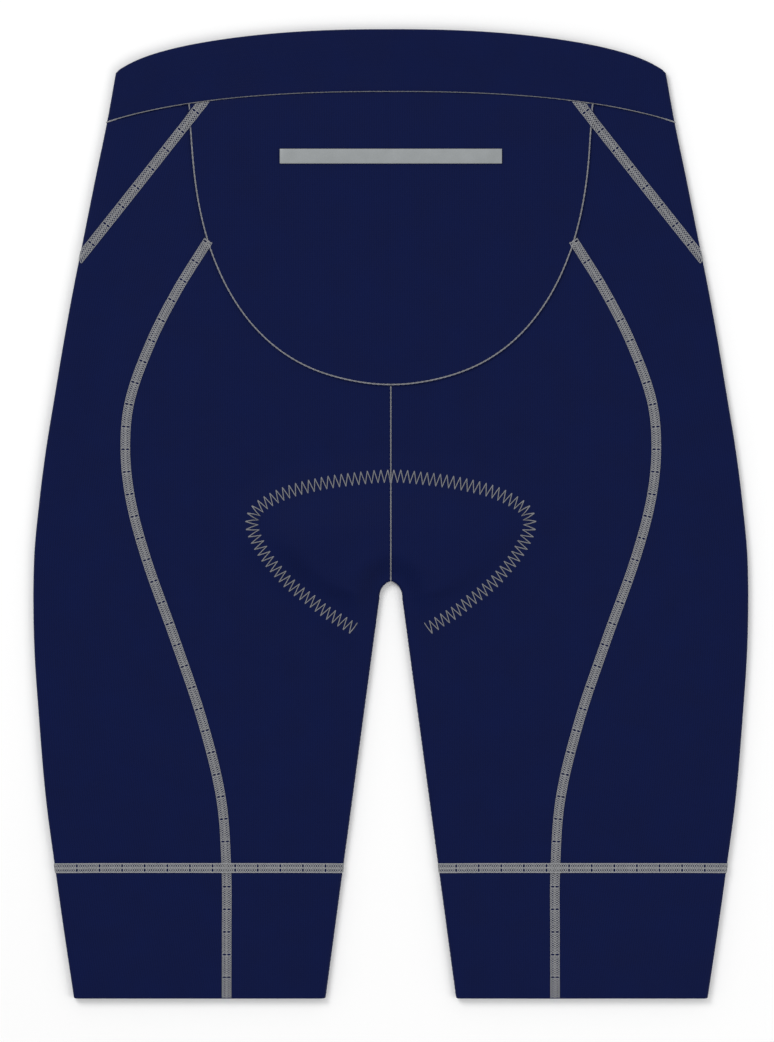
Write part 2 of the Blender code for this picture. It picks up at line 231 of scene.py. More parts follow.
LEVELS = (
    Level(0.0, 174.1, 90.2),
    Level(36.0, 179.5, 90.2),
    Level(71.5, 184.5, 90.4),
    Level(110.0, 189.6, 93.3),
    Level(153.0, 193.3, 103.7),
    Level(197.0, 196.1, 118.5),
    Level(241.0, 196.1, 134.2),
    Level(274.0, 193.1, 143.0),
    Level(302.0, 189.5, 145.9),
    Level(329.0, 185.1, 143.3),
    Level(362.0, 179.6, 131.3),
    Level(390.0, 174.5, 116.9),
    Level(416.0, 169.3, 100.7),
    Level(450.0, 162.5, 80.0),
    Level(482.0, 155.9, 65.0),
    Level(510.0, 150.9, 54.0),
)

PAD_OUTLINE = (
    Reach(-45.6, 28.0),
    Reach(-28.4, 32.0),
    Reach(-15.3, 37.9),
    Reach(-4.6, 45.0),
    Reach(9.4, 61.5),
    Reach(19.1, 75.9),
    Reach(25.5, 84.5),
    Reach(31.0, 86.6),
    Reach(38.3, 82.8),
    Reach(55.5, 71.8),
    Reach(72.4, 65.4),
    Reach(90.0, 63.6),
)

# Drag lines from the crotch and slack in the legs. None lies deeper than the thickness of the cloth.
CREASES = (
    Crease(Face.BACK, -34, 246, -112, 268, 7, 0.45),
    Crease(Face.BACK, 30, 300, 96, 322, 9, 0.40),
    Crease(Face.BACK, -66, 118, -168, 152, 9, 0.50),
    Crease(Face.BACK, 64, 96, 160, 112, 8, 0.35),
    Crease(Face.BACK, 112, 196, 184, 226, 8, 0.45),
    Crease(Face.BACK, -128, 322, -170, 296, 7, 0.40),
    Crease(Face.BACK, 140, 366, 172, 338, 6, 0.35),
    Crease(Face.BACK, -46, 186, -96, 206, 6, 0.30),
    Crease(Face.BACK, 58, 26, 152, 40, 8, 0.40),
    Crease(Face.FRONT, -20, 240, -104, 292, 9, -0.55),
    Crease(Face.FRONT, 18, 246, 92, 312, 8, -0.50),
    Crease(Face.FRONT, -30, 226, -120, 232, 7, -0.45),
    Crease(Face.FRONT, 34, 216, 116, 224, 8, -0.50),
    Crease(Face.FRONT, -150, 140, -70, 118, 9, -0.50),
    Crease(Face.FRONT, 160, 172, 84, 140, 8, -0.40),
    Crease(Face.FRONT, -60, 380, 40, 402, 11, -0.40),
    Crease(Face.FRONT, 120, 330, 172, 300, 7, -0.40),
)


@dataclass(frozen=True)
class ShortsForm:
    """Outlines of the laid shorts and the outer faces of their two layers."""

    length: float
    band_height: float
    fold_height: float = 5.0 * MM
    fold_radius: float = 2.0 * MM
    laid_height: float = 3.0 * MM
    thread_room: float = 0.7 * MM  # the front's seams lie on the ground and hold its cloth this far off
    fold_fade: float = 25.0 * MM
    hem_fade: float = 60.0 * MM
    waist_fade: float = 33.0 * MM
    crotch_height: float = 229.4 * MM
    arch_depth: float = 8.6 * MM  # from the crotch's point down to where the inside folds run straight
    arch_half: float = 6.25 * MM  # half the gap between the legs there
    pad_round: float = 6.2 * MM  # radius of the round that the pad's inner edge goes about
    hem_gap_half: float = 36.0 * MM
    waist_half: float = 151.0 * MM
    waist_fall: float = 23.4 * MM
    waist_power: float = 2.4  # of the waist's gentle fall from the middle of the back
    waist_corner: tuple[float, float] = (12.0, 0.23)  # power of the fall at the corner, and its share
    waist_seam_height: float = 498.3 * MM
    waist_seam_half: float = 155.9 * MM
    seam_fall: float = 17.0 * MM
    seam_corner: tuple[float, float] = (8.0, 0.155)
    front_dip: float = 14.0 * MM
    hip_seam_start: float = 102.8 * MM
    hip_seam_foot: float = 406.1 * MM
    hip_seam_from: float = 82.24 * MM  # the slanting seam's line means nothing nearer the centre
    flatlock_top: float = 416.7 * MM  # where the back's curved flatlock ends on the pocket's edge
    pad_rise: float = 6.0 * MM
    pad_rim_rise: float = 1.5 * MM
    pad_slope: float = 32.0 * MM
    pad_fade: float = 16.0 * MM
    pad_inset: float = 5.0 * MM
    pad_fold_fade: float = 15.0 * MM  # over which the lift starts beside an inside fold
    pocket_half: float = 110.3 * MM
    pocket_depth: float = 153.5 * MM
    pocket_power: float = 2.36
    pocket_point: float = 1.35 * MM  # by which the foot is drawn down to a soft point
    pocket_point_width: float = 22.0 * MM
    pocket_flare: float = 1.2 * MM  # by which the sides lean out towards the waist
    pocket_flare_length: float = 38.0 * MM
    pocket_flare_power: float = 3.0
    patch_lift: float = 0.95 * MM  # of the patch's outer face over the panel, at its edge
    patch_slack: float = 0.45 * MM
    patch_fade: float = 22.0 * MM
    flatlock_press: float = 0.16 * MM  # depth of the furrow along each side of a flatlock
    flatlock_reach: float = 3.1 * MM  # distance of that furrow from the seam
    furrow_width: float = 1.0 * MM
    seam_press: float = 0.30 * MM  # depth of the cloth at a plain seam
    seam_width: float = 1.3 * MM
    pucker: float = 0.07 * MM
    pucker_pitch: float = 8.6 * MM
    pucker_reach: float = 7.0 * MM
    pucker_wander: float = 1.9  # by which the spacing shifts, in radians, and the length that it takes
    pucker_wander_length: float = 23.0 * MM
    crease_bow: float = 0.08  # of a crease's length
    crease_spread: float = 0.42  # share of its length over which a crease fades towards its ends
    relief_fade: float = 4.0 * MM  # over which the relief starts beside a fold
    level_fade: float = 8.0 * MM  # over which what stands proud is let down to the side fold
    probe: float = 0.1 * MM  # distance between places from which a direction is worked out

    @property
    def pad_middle(self) -> float:
        """Height of the middle of the pad's inner round."""
        return self.crotch_height - self.pad_round

    @property
    def arch_height(self) -> float:
        """Height at which the inside folds start to close in a pointed arch."""
        return self.crotch_height - self.arch_depth

    @property
    def arch_offset(self) -> float:
        """How far past the centre line each side of the arch has its centre."""
        return (self.arch_depth**2 - self.arch_half**2) / (2 * self.arch_half)

    @property
    def middle(self) -> float:
        """Height above the ground at which the two layers meet in a fold."""
        return self.fold_height / 2

    @property
    def half_girth(self) -> float:
        """Distance round a fold from the level cloth to its middle."""
        return self.fold_radius * math.pi / 2 + self.middle - self.fold_radius

    def side_at(self, height: Array) -> Array:
        """Half width out to the side fold."""
        return MM * smooth_curve([k.height for k in LEVELS], [k.side for k in LEVELS], height / MM)

    def seam_at(self, height: Array) -> Array:
        """Distance across to the long curved seam."""
        return MM * smooth_curve([k.height for k in LEVELS], [k.seam for k in LEVELS], height / MM)

    def seam_lean(self, height: Array) -> Array:
        """How far the curved seam moves across for each metre of height."""
        return (self.seam_at(height + MM) - self.seam_at(height - MM)) / (2 * MM)

    def inseam_at(self, height: Array) -> Array:
        """Distance across to the inside fold of a leg."""
        return mix(self.hem_gap_half, self.arch_half, height / self.arch_height)

    def inner_at(self, height: Array) -> Array:
        """Distance across to the inside fold, the crotch's arch or, above it, the centre line.

        Args:
            height: height up.

        Returns:
            The distance at each height.
        """
        rise = height - self.arch_height
        radius = self.arch_half + self.arch_offset
        arc = np.sqrt(np.maximum(radius**2 - rise**2, self.arch_offset**2)) - self.arch_offset
        return np.where(rise > 0, arc, self.inseam_at(height))

    def waist_drop(self, share: Array, face: Face, fall: float, corner: tuple[float, float]) -> Array:
        """Drop of a level line of the waist below its place in the middle of the back.

        Args:
            share: share of the way from the centre to the side fold.
            face: the layer.
            fall: the whole drop of the back.
            corner: power of the part of it that is at the corner, and its share.

        Returns:
            The drop at each place.
        """
        if face is Face.FRONT:
            return fall + self.front_dip * (1 - share**2)
        return fall * mix(share**self.waist_power, share ** corner[0], corner[1])

    def waist_top(self, across: Array, face: Face) -> Array:
        """Height of the top edge of the waistband, level round the side fold."""
        share = np.minimum(np.abs(across) / self.waist_half, 1.0)
        return self.length - self.waist_drop(share, face, self.waist_fall, self.waist_corner)

    def waist_seam(self, across: Array, face: Face) -> Array:
        """Height of the seam below the waistband, level round the side fold."""
        share = np.minimum(np.abs(across) / self.waist_seam_half, 1.0)
        return self.waist_seam_height - self.waist_drop(share, face, self.seam_fall, self.seam_corner)

    def hip_seam(self, across: Array) -> Array:
        """Height of the slanting seam, which is straight and runs out to the side fold.

        Args:
            across: distance across.

        Returns:
            The height at each distance.
        """
        side = self.side_at(np.array(self.hip_seam_foot))
        rise = self.waist_seam(self.hip_seam_start, Face.BACK) - self.hip_seam_foot
        return self.hip_seam_foot + rise * (side - across) / (side - self.hip_seam_start)

    def seam_edge(self, height: Array, gap: float) -> Array:
        """Distance across to an edge with a gap to the curved seam, towards the side if it is positive."""
        return self.seam_at(height) + gap * np.hypot(1.0, self.seam_lean(height))

    @property
    def pocket_corner(self) -> float:
        """Height at which the pocket's edge meets the waist seam."""
        return float(self.waist_seam(self.pocket_half + self.pocket_flare, Face.BACK))

    def pocket_warp(self, across: Array, drop: Array) -> tuple[Array, Array]:
        """How far the pocket's edge leans out and is drawn down.

        Args:
            across: distance across from the centre line.
            drop: distance below the corner.

        Returns:
            How far out, and how far down.
        """
        near_top = np.clip(1 - drop / self.pocket_flare_length, 0.0, 1.0)
        out = self.pocket_flare * near_top**self.pocket_flare_power
        return out, self.pocket_point * bell(across, self.pocket_point_width)

    def pocket_edge(self, turn: Array) -> Array:
        """Places on the pocket's edge, from its foot at a turn of 0 up to its corner at a quarter turn.

        Args:
            turn: turns, in radians.

        Returns:
            Distance across and height of each place.
        """
        across = self.pocket_half * np.sin(turn) ** (2 / self.pocket_power)
        drop = self.pocket_depth * np.abs(np.cos(turn)) ** (2 / self.pocket_power)
        out, down = self.pocket_warp(across, drop)
        return np.column_stack([across + out, self.pocket_corner - drop - down])

    def patch_rise(self, across: Array, height: Array, fade: float = 0.5 * MM) -> Array:
        """How far the outer face of the patch pocket lies above the panels, fading to 0 outside the patch.

        Args:
            across: distance across.
            height: height up.
            fade: width over which it fades.

        Returns:
            The rise at each place.
        """
        out, down = self.pocket_warp(across, self.pocket_corner - height)
        drop = np.maximum(self.pocket_corner - height - down, 0.0)
        aside = np.maximum(np.abs(across) - out, 0.0)
        power = self.pocket_power
        share = ((aside / self.pocket_half) ** power + (drop / self.pocket_depth) ** power) ** (1 / power)
        inside = (1 / np.maximum(share, 0.05) - 1) * np.hypot(across, drop)
        slack = self.patch_slack * eased(inside / self.patch_fade)
        slack = slack * eased((self.waist_seam(across, Face.BACK) - height) / self.patch_fade)
        return (self.patch_lift + slack) * eased((inside + fade) / fade)

    @property
    def hip_stretch(self) -> float:
        """How much longer a gap across the slanting seam is when measured upwards."""
        return math.hypot(1.0, float(self.hip_seam(np.array(0.0)) - self.hip_seam(np.array(1.0))))

    def hip_corner(self, face: Face) -> float:
        """Distance across at which the slanting seam leaves the waistband.

        Args:
            face: the layer.

        Returns:
            That distance.
        """

        def step(across: Array) -> Array:
            """Moves towards the place where the two seams are level."""
            return across + (self.hip_seam(across) - self.waist_seam(across, face)) / 2

        return float(settle(step, np.array(self.hip_seam_start)))

    def fold_distance(self, across: Array, height: Array) -> Array:
        """Distance from the inside fold of a leg, or from the arch at the crotch.

        Args:
            across: distance across.
            height: height up.

        Returns:
            The distance, which is below 0 in the gap between the legs.
        """
        rise = height - self.arch_height
        from_centre = np.hypot(across + self.arch_offset, rise)
        from_arch = from_centre - self.arch_half - self.arch_offset
        return np.where(rise > 0, from_arch, across - self.inseam_at(height))

    def pad_reach(self, angle: Array) -> Array:
        """Distance of the pad's outline from the middle of its inner round, by its angle in degrees."""
        return MM * smooth_curve([k.angle for k in PAD_OUTLINE], [k.radius for k in PAD_OUTLINE], angle)

    def lift_over_pad(self, across: Array, height: Array) -> Array:
        """How far the pad lifts the back.

        Args:
            across: distance across.
            height: height up.

        Returns:
            The lift at each place.
        """
        rise = height - self.pad_middle
        depth = self.pad_reach(np.degrees(np.arctan2(rise, across))) - np.hypot(across, rise)
        lift = mix(self.pad_rim_rise, self.pad_rise, eased(depth / self.pad_slope))
        lift = lift * eased(1 + depth / self.pad_fade)
        return lift * eased((self.fold_distance(across, height) - self.fold_radius) / self.pad_fold_fade)

    def rounding(self, distance: Array) -> Array:
        """How far a face has turned away from level, this close to a fold."""
        inward = self.fold_radius - np.clip(distance, 0.0, self.fold_radius)
        return self.fold_radius - np.sqrt(self.fold_radius**2 - inward**2)

    def flatlocks_near(self, across: Array, height: Array, face: Face) -> list[tuple[Array, Array, Array]]:
        """Distance from each flatlock, the way along it, and its presence, which fades past its end.

        Args:
            across: distance across.
            height: height up.
            face: the layer.

        Returns:
            Those three for the curved seam, the slanting one and the band's.
        """
        to_waist = self.waist_seam(across, face) - height
        to_top = self.flatlock_top - height if face is Face.BACK else to_waist
        curved = (across - self.seam_at(height)) / np.hypot(1.0, self.seam_lean(height))
        slant = (height - self.hip_seam(across)) / self.hip_stretch
        near_hip = (across > self.hip_seam_from) * eased(to_waist / self.seam_width)
        band = height - self.band_height
        return [
            (curved, height + 0 * curved, eased(to_top / self.seam_width)),
            (slant, across * self.hip_stretch + 0 * slant, near_hip),
            (band, across + 0 * band, 1.0 + 0 * band),
        ]

    def relief(self, across: Array, height: Array, face: Face, hand: Hand) -> Array:
        """Relief of the cloth over its plain form, by pressed seams, puckers and creases.

        Args:
            across: distance across.
            height: height up.
            face: the layer.
            hand: the side.

        Returns:
            The relief at each place, outwards.
        """
        out = np.zeros(np.broadcast(across, height).shape)
        for distance, way, presence in self.flatlocks_near(across, height, face):
            away = np.abs(distance) - self.flatlock_reach
            wander = self.pucker_wander * np.sin(way / self.pucker_wander_length + hand.value) + hand.value
            ripple = self.pucker * np.sin(2 * math.pi * way / self.pucker_pitch + wander)
            ripple = ripple * bell(away - self.pucker_reach / 2, self.pucker_reach)
            out += presence * (ripple - self.flatlock_press * bell(away, self.furrow_width))
        plain = [height - self.waist_seam(across, face)]
        plain.append(np.where(height > self.crotch_height, across, 1.0))
        for distance in plain:
            out -= self.seam_press * bell(distance, self.seam_width)
        return out + self.creases(across * hand.value, height, face)

    def creases(self, across: Array, height: Array, face: Face) -> Array:
        """Rise of the soft creases at a place whose distance across has its sign.

        Args:
            across: distance across.
            height: height up.
            face: the layer.

        Returns:
            The rise at each place.
        """
        out = np.zeros(np.broadcast(across, height).shape)
        for crease in CREASES:
            if crease.face is not face:
                continue
            start = MM * np.array([crease.from_across, crease.from_height])
            run = MM * np.array([crease.to_across, crease.to_height]) - start
            length = float(np.hypot(*run))
            x, y = across - start[0], height - start[1]
            share = (x * run[0] + y * run[1]) / length**2
            aside = (y * run[0] - x * run[1]) / length - self.crease_bow * length * np.sin(math.pi * share)
            fade = bell(share - 0.5, self.crease_spread)
            out += crease.rise * MM * bell(aside, crease.half_width * MM) * fade
        return out

    def surface(self, across: Array, height: Array, face: Face, hand: Hand) -> Array:
        """Height above the ground of a layer's outer face.

        Args:
            across: distance from the centre line, not more than the half width.
            height: distance above the hems.
            face: the layer.
            hand: the side of the wearer, because creases differ from left to right.

        Returns:
            The height at each place.
        """
        side = self.side_at(height) - across
        inside = self.fold_distance(across, height)
        near = np.minimum(side, inside)
        turned = self.rounding(near)
        relief = self.relief(across, height, face, hand) * eased((near - self.fold_radius) / self.relief_fade)
        if face is Face.FRONT:
            share = (self.fold_radius - self.thread_room) / self.fold_radius
            return self.thread_room + turned * share - relief
        settled = eased((side - self.fold_radius) / self.fold_fade)
        settled = settled * eased((inside - self.fold_radius) / self.fold_fade)
        settled = settled * eased(height / self.hem_fade)
        settled = settled * eased((self.waist_top(across, face) - height) / self.waist_fade)
        laid = mix(self.fold_height, self.laid_height, settled)
        return laid + self.lift_over_pad(across, height) - turned + relief

    def patch_top(self, across: Array, height: Array) -> Array:
        """Height above the ground of the patch pocket's outer face, on both sides of the centre."""
        return self.surface(np.abs(across), height, Face.BACK, Hand.RIGHT) + self.patch_rise(across, height)

    def level_share(self, across: Array, height: Array) -> Array:
        """1 on the level cloth, easing to 0 at the side fold."""
        return eased((self.side_at(height) - self.fold_radius - across) / self.level_fade)

    def spot(self, across: Array, height: Array, above: Array, hand: Hand) -> Array:
        """Points at distances across, heights above the hems and heights above the ground."""
        x = across * hand.value + 0 * above
        return np.stack([x, height - self.length / 2 + 0 * above, above + 0 * x], axis=-1)

    def place(self, across: Array, height: Array, face: Face, hand: Hand) -> Array:
        """Points of a layer's outer face. Past the start of a fold the distance across goes on round it.

        Args:
            across: distance across.
            height: height up.
            face: the layer.
            hand: the side.

        Returns:
            A point for each place.
        """
        side = self.side_at(height) - self.fold_radius
        inner = np.where(height < self.arch_height, self.inseam_at(height) + self.fold_radius, -1.0)
        beyond, before = np.maximum(across - side, 0.0), np.maximum(inner - across, 0.0)
        round_fold = np.maximum(beyond, before)
        quarter = self.fold_radius * math.pi / 2
        turn = np.minimum(round_fold, quarter) / self.fold_radius
        level = np.where(beyond > 0, side, np.where(before > 0, inner, across))
        level = level + np.sign(beyond - before) * self.fold_radius * np.sin(turn)
        down = np.maximum(round_fold - quarter, 0.0)
        return self.spot(level, height, self.surface(level, height, face, hand) - down * face.upward, hand)

    def outward(self, across: Array, height: Array, face: Face, hand: Hand) -> Array:
        """Unit vectors that point out of a layer's outer face.

        Args:
            across: distance across.
            height: height up.
            face: the layer.
            hand: the side.

        Returns:
            A vector for each place.
        """
        right, left = (self.place(across + step, height, face, hand) for step in (self.probe, -self.probe))
        upper, lower = (self.place(across, height + step, face, hand) for step in (self.probe, -self.probe))
        out = np.cross(right - left, upper - lower) * hand.value * face.upward
        return out / np.maximum(np.linalg.norm(out, axis=-1, keepdims=True), 1e-12)


# ---- Meshes ----
@contextmanager
def editing(mesh: Mesh) -> Iterator[BMesh]:
    """Opens a mesh for editing and puts the result back.

    Args:
        mesh: the mesh.

    Yields:
        What is edited.
    """
    made = bmesh.new()
    made.from_mesh(mesh)
    yield made
    made.to_mesh(mesh)
    made.free()


def grid_quads(rows: int, columns: int) -> Array:
    """Corners of the quads between points that are numbered row by row."""
    index = np.arange(rows * columns).reshape(rows, columns)
    return np.stack([index[:-1, :-1], index[:-1, 1:], index[1:, 1:], index[1:, :-1]], axis=-1).reshape(-1, 4)


# ---- Cloth ----
@dataclass
class Cut:
    """An open sheet in place, row by row, with the place of each point on the flat cloth."""

    points: Array
    flat: Array
    looks_up: bool

    def size(self) -> tuple[float, float]:
        """Width and length of the flat piece."""
        return float(np.ptp(self.flat[..., 0])), float(np.ptp(self.flat[..., 1]))

    def mesh(self, name: str, weld: float = 0.05 * MM) -> Mesh:
        """Makes the sheet a mesh of quads with a UV map in metres of flat cloth.

        Args:
            name: the mesh's name.
            weld: distance within which points are merged.

        Returns:
            The mesh.
        """
        faces = grid_quads(*self.points.shape[:2])
        if not self.looks_up:
            faces = faces[:, ::-1]
        mesh = bpy.data.meshes.new(name)
        mesh.from_pydata(self.points.reshape(-1, 3).tolist(), [], faces.tolist())
        layer = mesh.uv_layers.new(name="Cloth")
        layer.uv.foreach_set("vector", self.flat.reshape(-1, 2)[faces.reshape(-1)].astype(np.float32).ravel())
        with editing(mesh) as made:
            bmesh.ops.remove_doubles(made, verts=made.verts, dist=weld)
            bmesh.ops.dissolve_degenerate(made, edges=made.edges, dist=weld / 10)
        return mesh


@dataclass(frozen=True)
class ClothWall:
    """Thickness of a cloth and the rounding of its cut edges, which is 0 where they are turned in."""

    thickness: float = 0.8 * MM
    edge: float = 0.22 * MM
    edge_segments: int = 2
    sharp_degrees: float = 55.0  # an edge that turns more than this is rounded
    shortest: float = 0.003 * MM  # of the mesh's edges; shorter ones are merged

    def thicken(self, piece: Object) -> None:
        """Gives an open sheet its wall, inwards from its outer face, and rounds the edges.

        Args:
            piece: the sheet.
        """
        wall = piece.modifiers.new("Wall", "SOLIDIFY")
        wall.thickness = self.thickness
        wall.offset = -1.0
        wall.use_quality_normals = True
        if self.edge > 0:
            rounded = piece.modifiers.new("Edge", "BEVEL")
            rounded.width = self.edge
            rounded.segments = self.edge_segments
            rounded.limit_method = "ANGLE"
            rounded.angle_limit = math.radians(self.sharp_degrees)
        apply_modifiers(piece)
        with editing(piece.data) as made:
            bmesh.ops.dissolve_degenerate(made, dist=self.shortest, edges=made.edges)


def only_selected(piece: Object) -> None:
    """Makes a piece the only selected object and the active one.

    Args:
        piece: the piece.
    """
    for other in bpy.context.selected_objects:
        other.select_set(False)
    piece.select_set(True)
    bpy.context.view_layer.objects.active = piece


def apply_modifiers(piece: Object) -> None:
    """Applies the piece's modifiers in their order.

    Args:
        piece: the piece.
    """
    only_selected(piece)
    for modifier in list(piece.modifiers):
        bpy.ops.object.modifier_apply(modifier=modifier.name)


def add_piece(name: str, mesh: Mesh, finish: Material) -> Object:
    """Adds a finished mesh as a piece that rides on the part.

    Args:
        name: the piece's name.
        mesh: its mesh, already in place.
        finish: its material.

    Returns:
        The new object.
    """
    piece = bpy.data.objects.new(name, mesh)
    bpy.context.scene.collection.objects.link(piece)
    mesh.materials.clear()
    mesh.materials.append(finish)
    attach(piece, BODY)
    return piece


def smooth(piece: Object, sharp_degrees: float = 50.0) -> None:
    """Shades a piece smooth, apart from its sharp edges."""
    piece.data.shade_smooth()
    piece.data.set_sharp_from_angle(angle=math.radians(sharp_degrees))


def report(piece: Object) -> None:
    """Logs a finished piece and its number of triangles."""
    triangles = sum(len(face.vertices) - 2 for face in piece.data.polygons)
    log.info("%s: %d triangles", piece.name, triangles)


@dataclass
class ClothPiece:
    """What every cloth piece of the shorts has: the form it lies on, its wall and its finish."""

    form: ShortsForm
    finish: Material
    wall: ClothWall = field(default_factory=ClothWall)
    slot: str = "navy_knit"
    join: float = 0.06 * MM  # half the gap to the next piece
    fine: float = 0.55 * MM  # spacing of the mesh at a seam
    coarse: float = 2.6 * MM  # and inside the piece

    def sew(self, node: str, name: str, cut: Cut, rests_on: Sequence[str]) -> Object:
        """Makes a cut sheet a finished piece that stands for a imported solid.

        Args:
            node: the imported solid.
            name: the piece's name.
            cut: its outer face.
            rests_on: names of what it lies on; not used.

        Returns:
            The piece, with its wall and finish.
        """
        piece = add_piece(name, cut.mesh(name), self.finish)
        self.wall.thicken(piece)
        smooth(piece)
        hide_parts(node)
        cut.size()
        report(piece)
        return piece


@dataclass
class LegPanels(ClothPiece):
    """Back and front panels, each from the inside fold and the centre seam out to the curved seam."""

    fold_insets: tuple[float, ...] = (0.0, 0.03, 0.2, 0.6, 1.2, 2.0)  # columns round the fold, in millimetres
    notch_below: float = 8.8 * MM  # rows are finer from here below the crotch
    notch_above: float = 3.0 * MM
    notch_step: float = 0.40 * MM
    typical_width: float = 100.0 * MM

    def row_heights(self, foot: float, top: float) -> Array:
        """Heights of the rows along the centre, finer at the seams and at the crotch.

        Args:
            foot: the lowest row.
            top: the highest row.

        Returns:
            The heights, rising.
        """
        crotch = self.form.crotch_height
        notch = np.arange(crotch - self.notch_below, crotch + self.notch_above, self.notch_step)
        below = mix(foot, notch[0], graded(notch[0] - foot, self.fine, self.coarse))[:-1]
        above = mix(notch[-1], top, graded(top - notch[-1], self.fine, self.coarse))[1:]
        return np.concatenate([below, notch, above])

    def cut(self, face: Face, hand: Hand) -> Cut:
        """Outer face of one panel.

        Args:
            face: the layer.
            hand: the side.

        Returns:
            The sheet.
        """
        form = self.form
        shares = graded(self.typical_width, self.fine, self.coarse)[1:]
        insets = np.array(self.fold_insets) * MM
        inset = np.concatenate([insets, np.full(len(shares), insets[-1])])
        share = np.concatenate([np.zeros(len(insets)), shares])

        def across_at(height: Array) -> Array:
            """Columns from the inside fold or the centre to the curved seam."""
            inner = np.maximum(form.inner_at(height), self.join)
            return mix(inner + inset, form.seam_edge(height, -self.join), share)

        foot = form.band_height + self.join
        guess = np.full(len(share), form.waist_seam_height)
        top = meeting(lambda across: form.waist_seam(across, face) - self.join, across_at, guess)
        rows = self.row_heights(foot, float(top[0]))
        height = mix(foot, top[None, :], ((rows - foot) / (rows[-1] - foot))[:, None])
        across = across_at(height)
        points = form.spot(across, height, form.surface(across, height, face, hand), hand)
        at_fold = height[:, 0] < form.crotch_height
        points[at_fold, 0, 2] = form.middle + self.join * face.upward
        return Cut(points, np.stack([across, height], axis=-1), face.upward == hand.value)

    def build(self) -> None:
        """Makes both panels of both layers."""
        for hand in Hand:
            front = f"front_panel_cloth_{hand.side}"
            self.sew(f"front_panel_{hand.side}", front, self.cut(Face.FRONT, hand), [])
            back = f"back_panel_cloth_{hand.side}"
            self.sew(f"back_panel_{hand.side}", back, self.cut(Face.BACK, hand), [front, PAD_NAME])


@dataclass
class WrappedPiece(ClothPiece):
    """A piece that goes round the side fold, from the back layer to the front one."""

    fold_steps: int = 5

    def fold_columns(self) -> Array:
        """Distances round the fold, from the level cloth to its middle."""
        quarter = self.form.fold_radius * math.pi / 2
        return np.append(np.linspace(0, quarter, self.fold_steps + 1)[1:], self.form.half_girth)

    def columns(self, start_at: Line, shares: Array) -> tuple[Line, Array]:
        """Columns from a line on the level cloth to the middle of the fold.

        Args:
            start_at: distance across of the first column, by height.
            shares: places of the level columns on the way from there to the fold.

        Returns:
            The distance across of each column by height, and the share of each.
        """
        form = self.form
        fold = self.fold_columns()
        share = np.concatenate([shares, np.ones(len(fold))])
        extra = np.concatenate([np.zeros(len(shares)), fold])

        def across_at(height: Array) -> Array:
            """The columns' distance across."""
            return mix(start_at(height), form.side_at(height) - form.fold_radius, share) + extra

        return across_at, share

    def from_fold(self, across: Array, height: Array, face: Face) -> Array:
        """Place on the flat cloth, across from the middle of the side fold."""
        middle = self.form.side_at(height) - self.form.fold_radius + self.form.half_girth
        return (middle - across) * face.upward

    def laid(self, across: Array, height: Array, face: Face, hand: Hand) -> tuple[Array, Array]:
        """Points and flat places of a layer at distances across and heights."""
        flat = np.stack([self.from_fold(across, height, face), height], axis=-1)
        return self.form.place(across, height, face, hand), flat

    def sew_round(self, kind: str, layer: Layer, hand: Hand) -> None:
        """Makes one piece of its two layers, joined at the middle of the fold.

        Args:
            kind: the piece's name, without the side.
            layer: gives points and flat places from the seam to the fold.
            hand: the side.
        """
        (back, back_flat), (front, front_flat) = (layer(face, hand) for face in Face)
        points = np.concatenate([back, front[:, -2::-1]], axis=1)
        flat = np.concatenate([back_flat, front_flat[:, -2::-1]], axis=1)
        name = f"{kind}_cloth_{hand.side}"
        self.sew(f"{kind}_{hand.side}", name, Cut(points, flat, hand is Hand.RIGHT), [])


@dataclass
class SidePanels(WrappedPiece):
    """Outer leg panels, up to the waistband and then to the slanting seam."""

    rows_length: float = 420.0 * MM
    inner_width: float = 46.0 * MM  # from the curved seam to the column that ends at the seams' corner
    outer_columns: int = 22
    nothing: float = 1e-6  # share by which that column may miss the corner

    def layer(self, face: Face, hand: Hand) -> tuple[Array, Array]:
        """Points and flat places of one layer.

        Args:
            face: the layer.
            hand: the side.

        Returns:
            The points and the flat places, from the seam to the fold.
        """
        form = self.form
        corner_across = form.hip_corner(face)
        corner_height = form.waist_seam(corner_across, face)
        start = form.seam_edge(corner_height, self.join)
        corner = (corner_across - start) / (form.side_at(corner_height) - form.fold_radius - start)
        inner = graded_from(self.inner_width, self.fine, self.coarse) * corner
        shares = np.concatenate([inner, np.linspace(corner, 1, self.outer_columns)[1:]])
        across_at, share = self.columns(lambda height: form.seam_edge(height, self.join), shares)
        guess = np.full(len(share), form.waist_seam_height)
        waist = meeting(lambda across: form.waist_seam(across, face) - self.join, across_at, guess)
        gap = self.join * form.hip_stretch
        slant = meeting(lambda across: form.hip_seam(across) - gap, across_at, guess)
        top = np.where(share > corner + self.nothing, slant, waist)
        foot = form.band_height + self.join
        height = mix(foot, top[None, :], graded(self.rows_length, self.fine, self.coarse)[:, None])
        return self.laid(across_at(height), height, face, hand)

    def build(self) -> None:
        """Makes both side panels."""
        for hand in Hand:
            self.sew_round("side_panel", self.layer, hand)


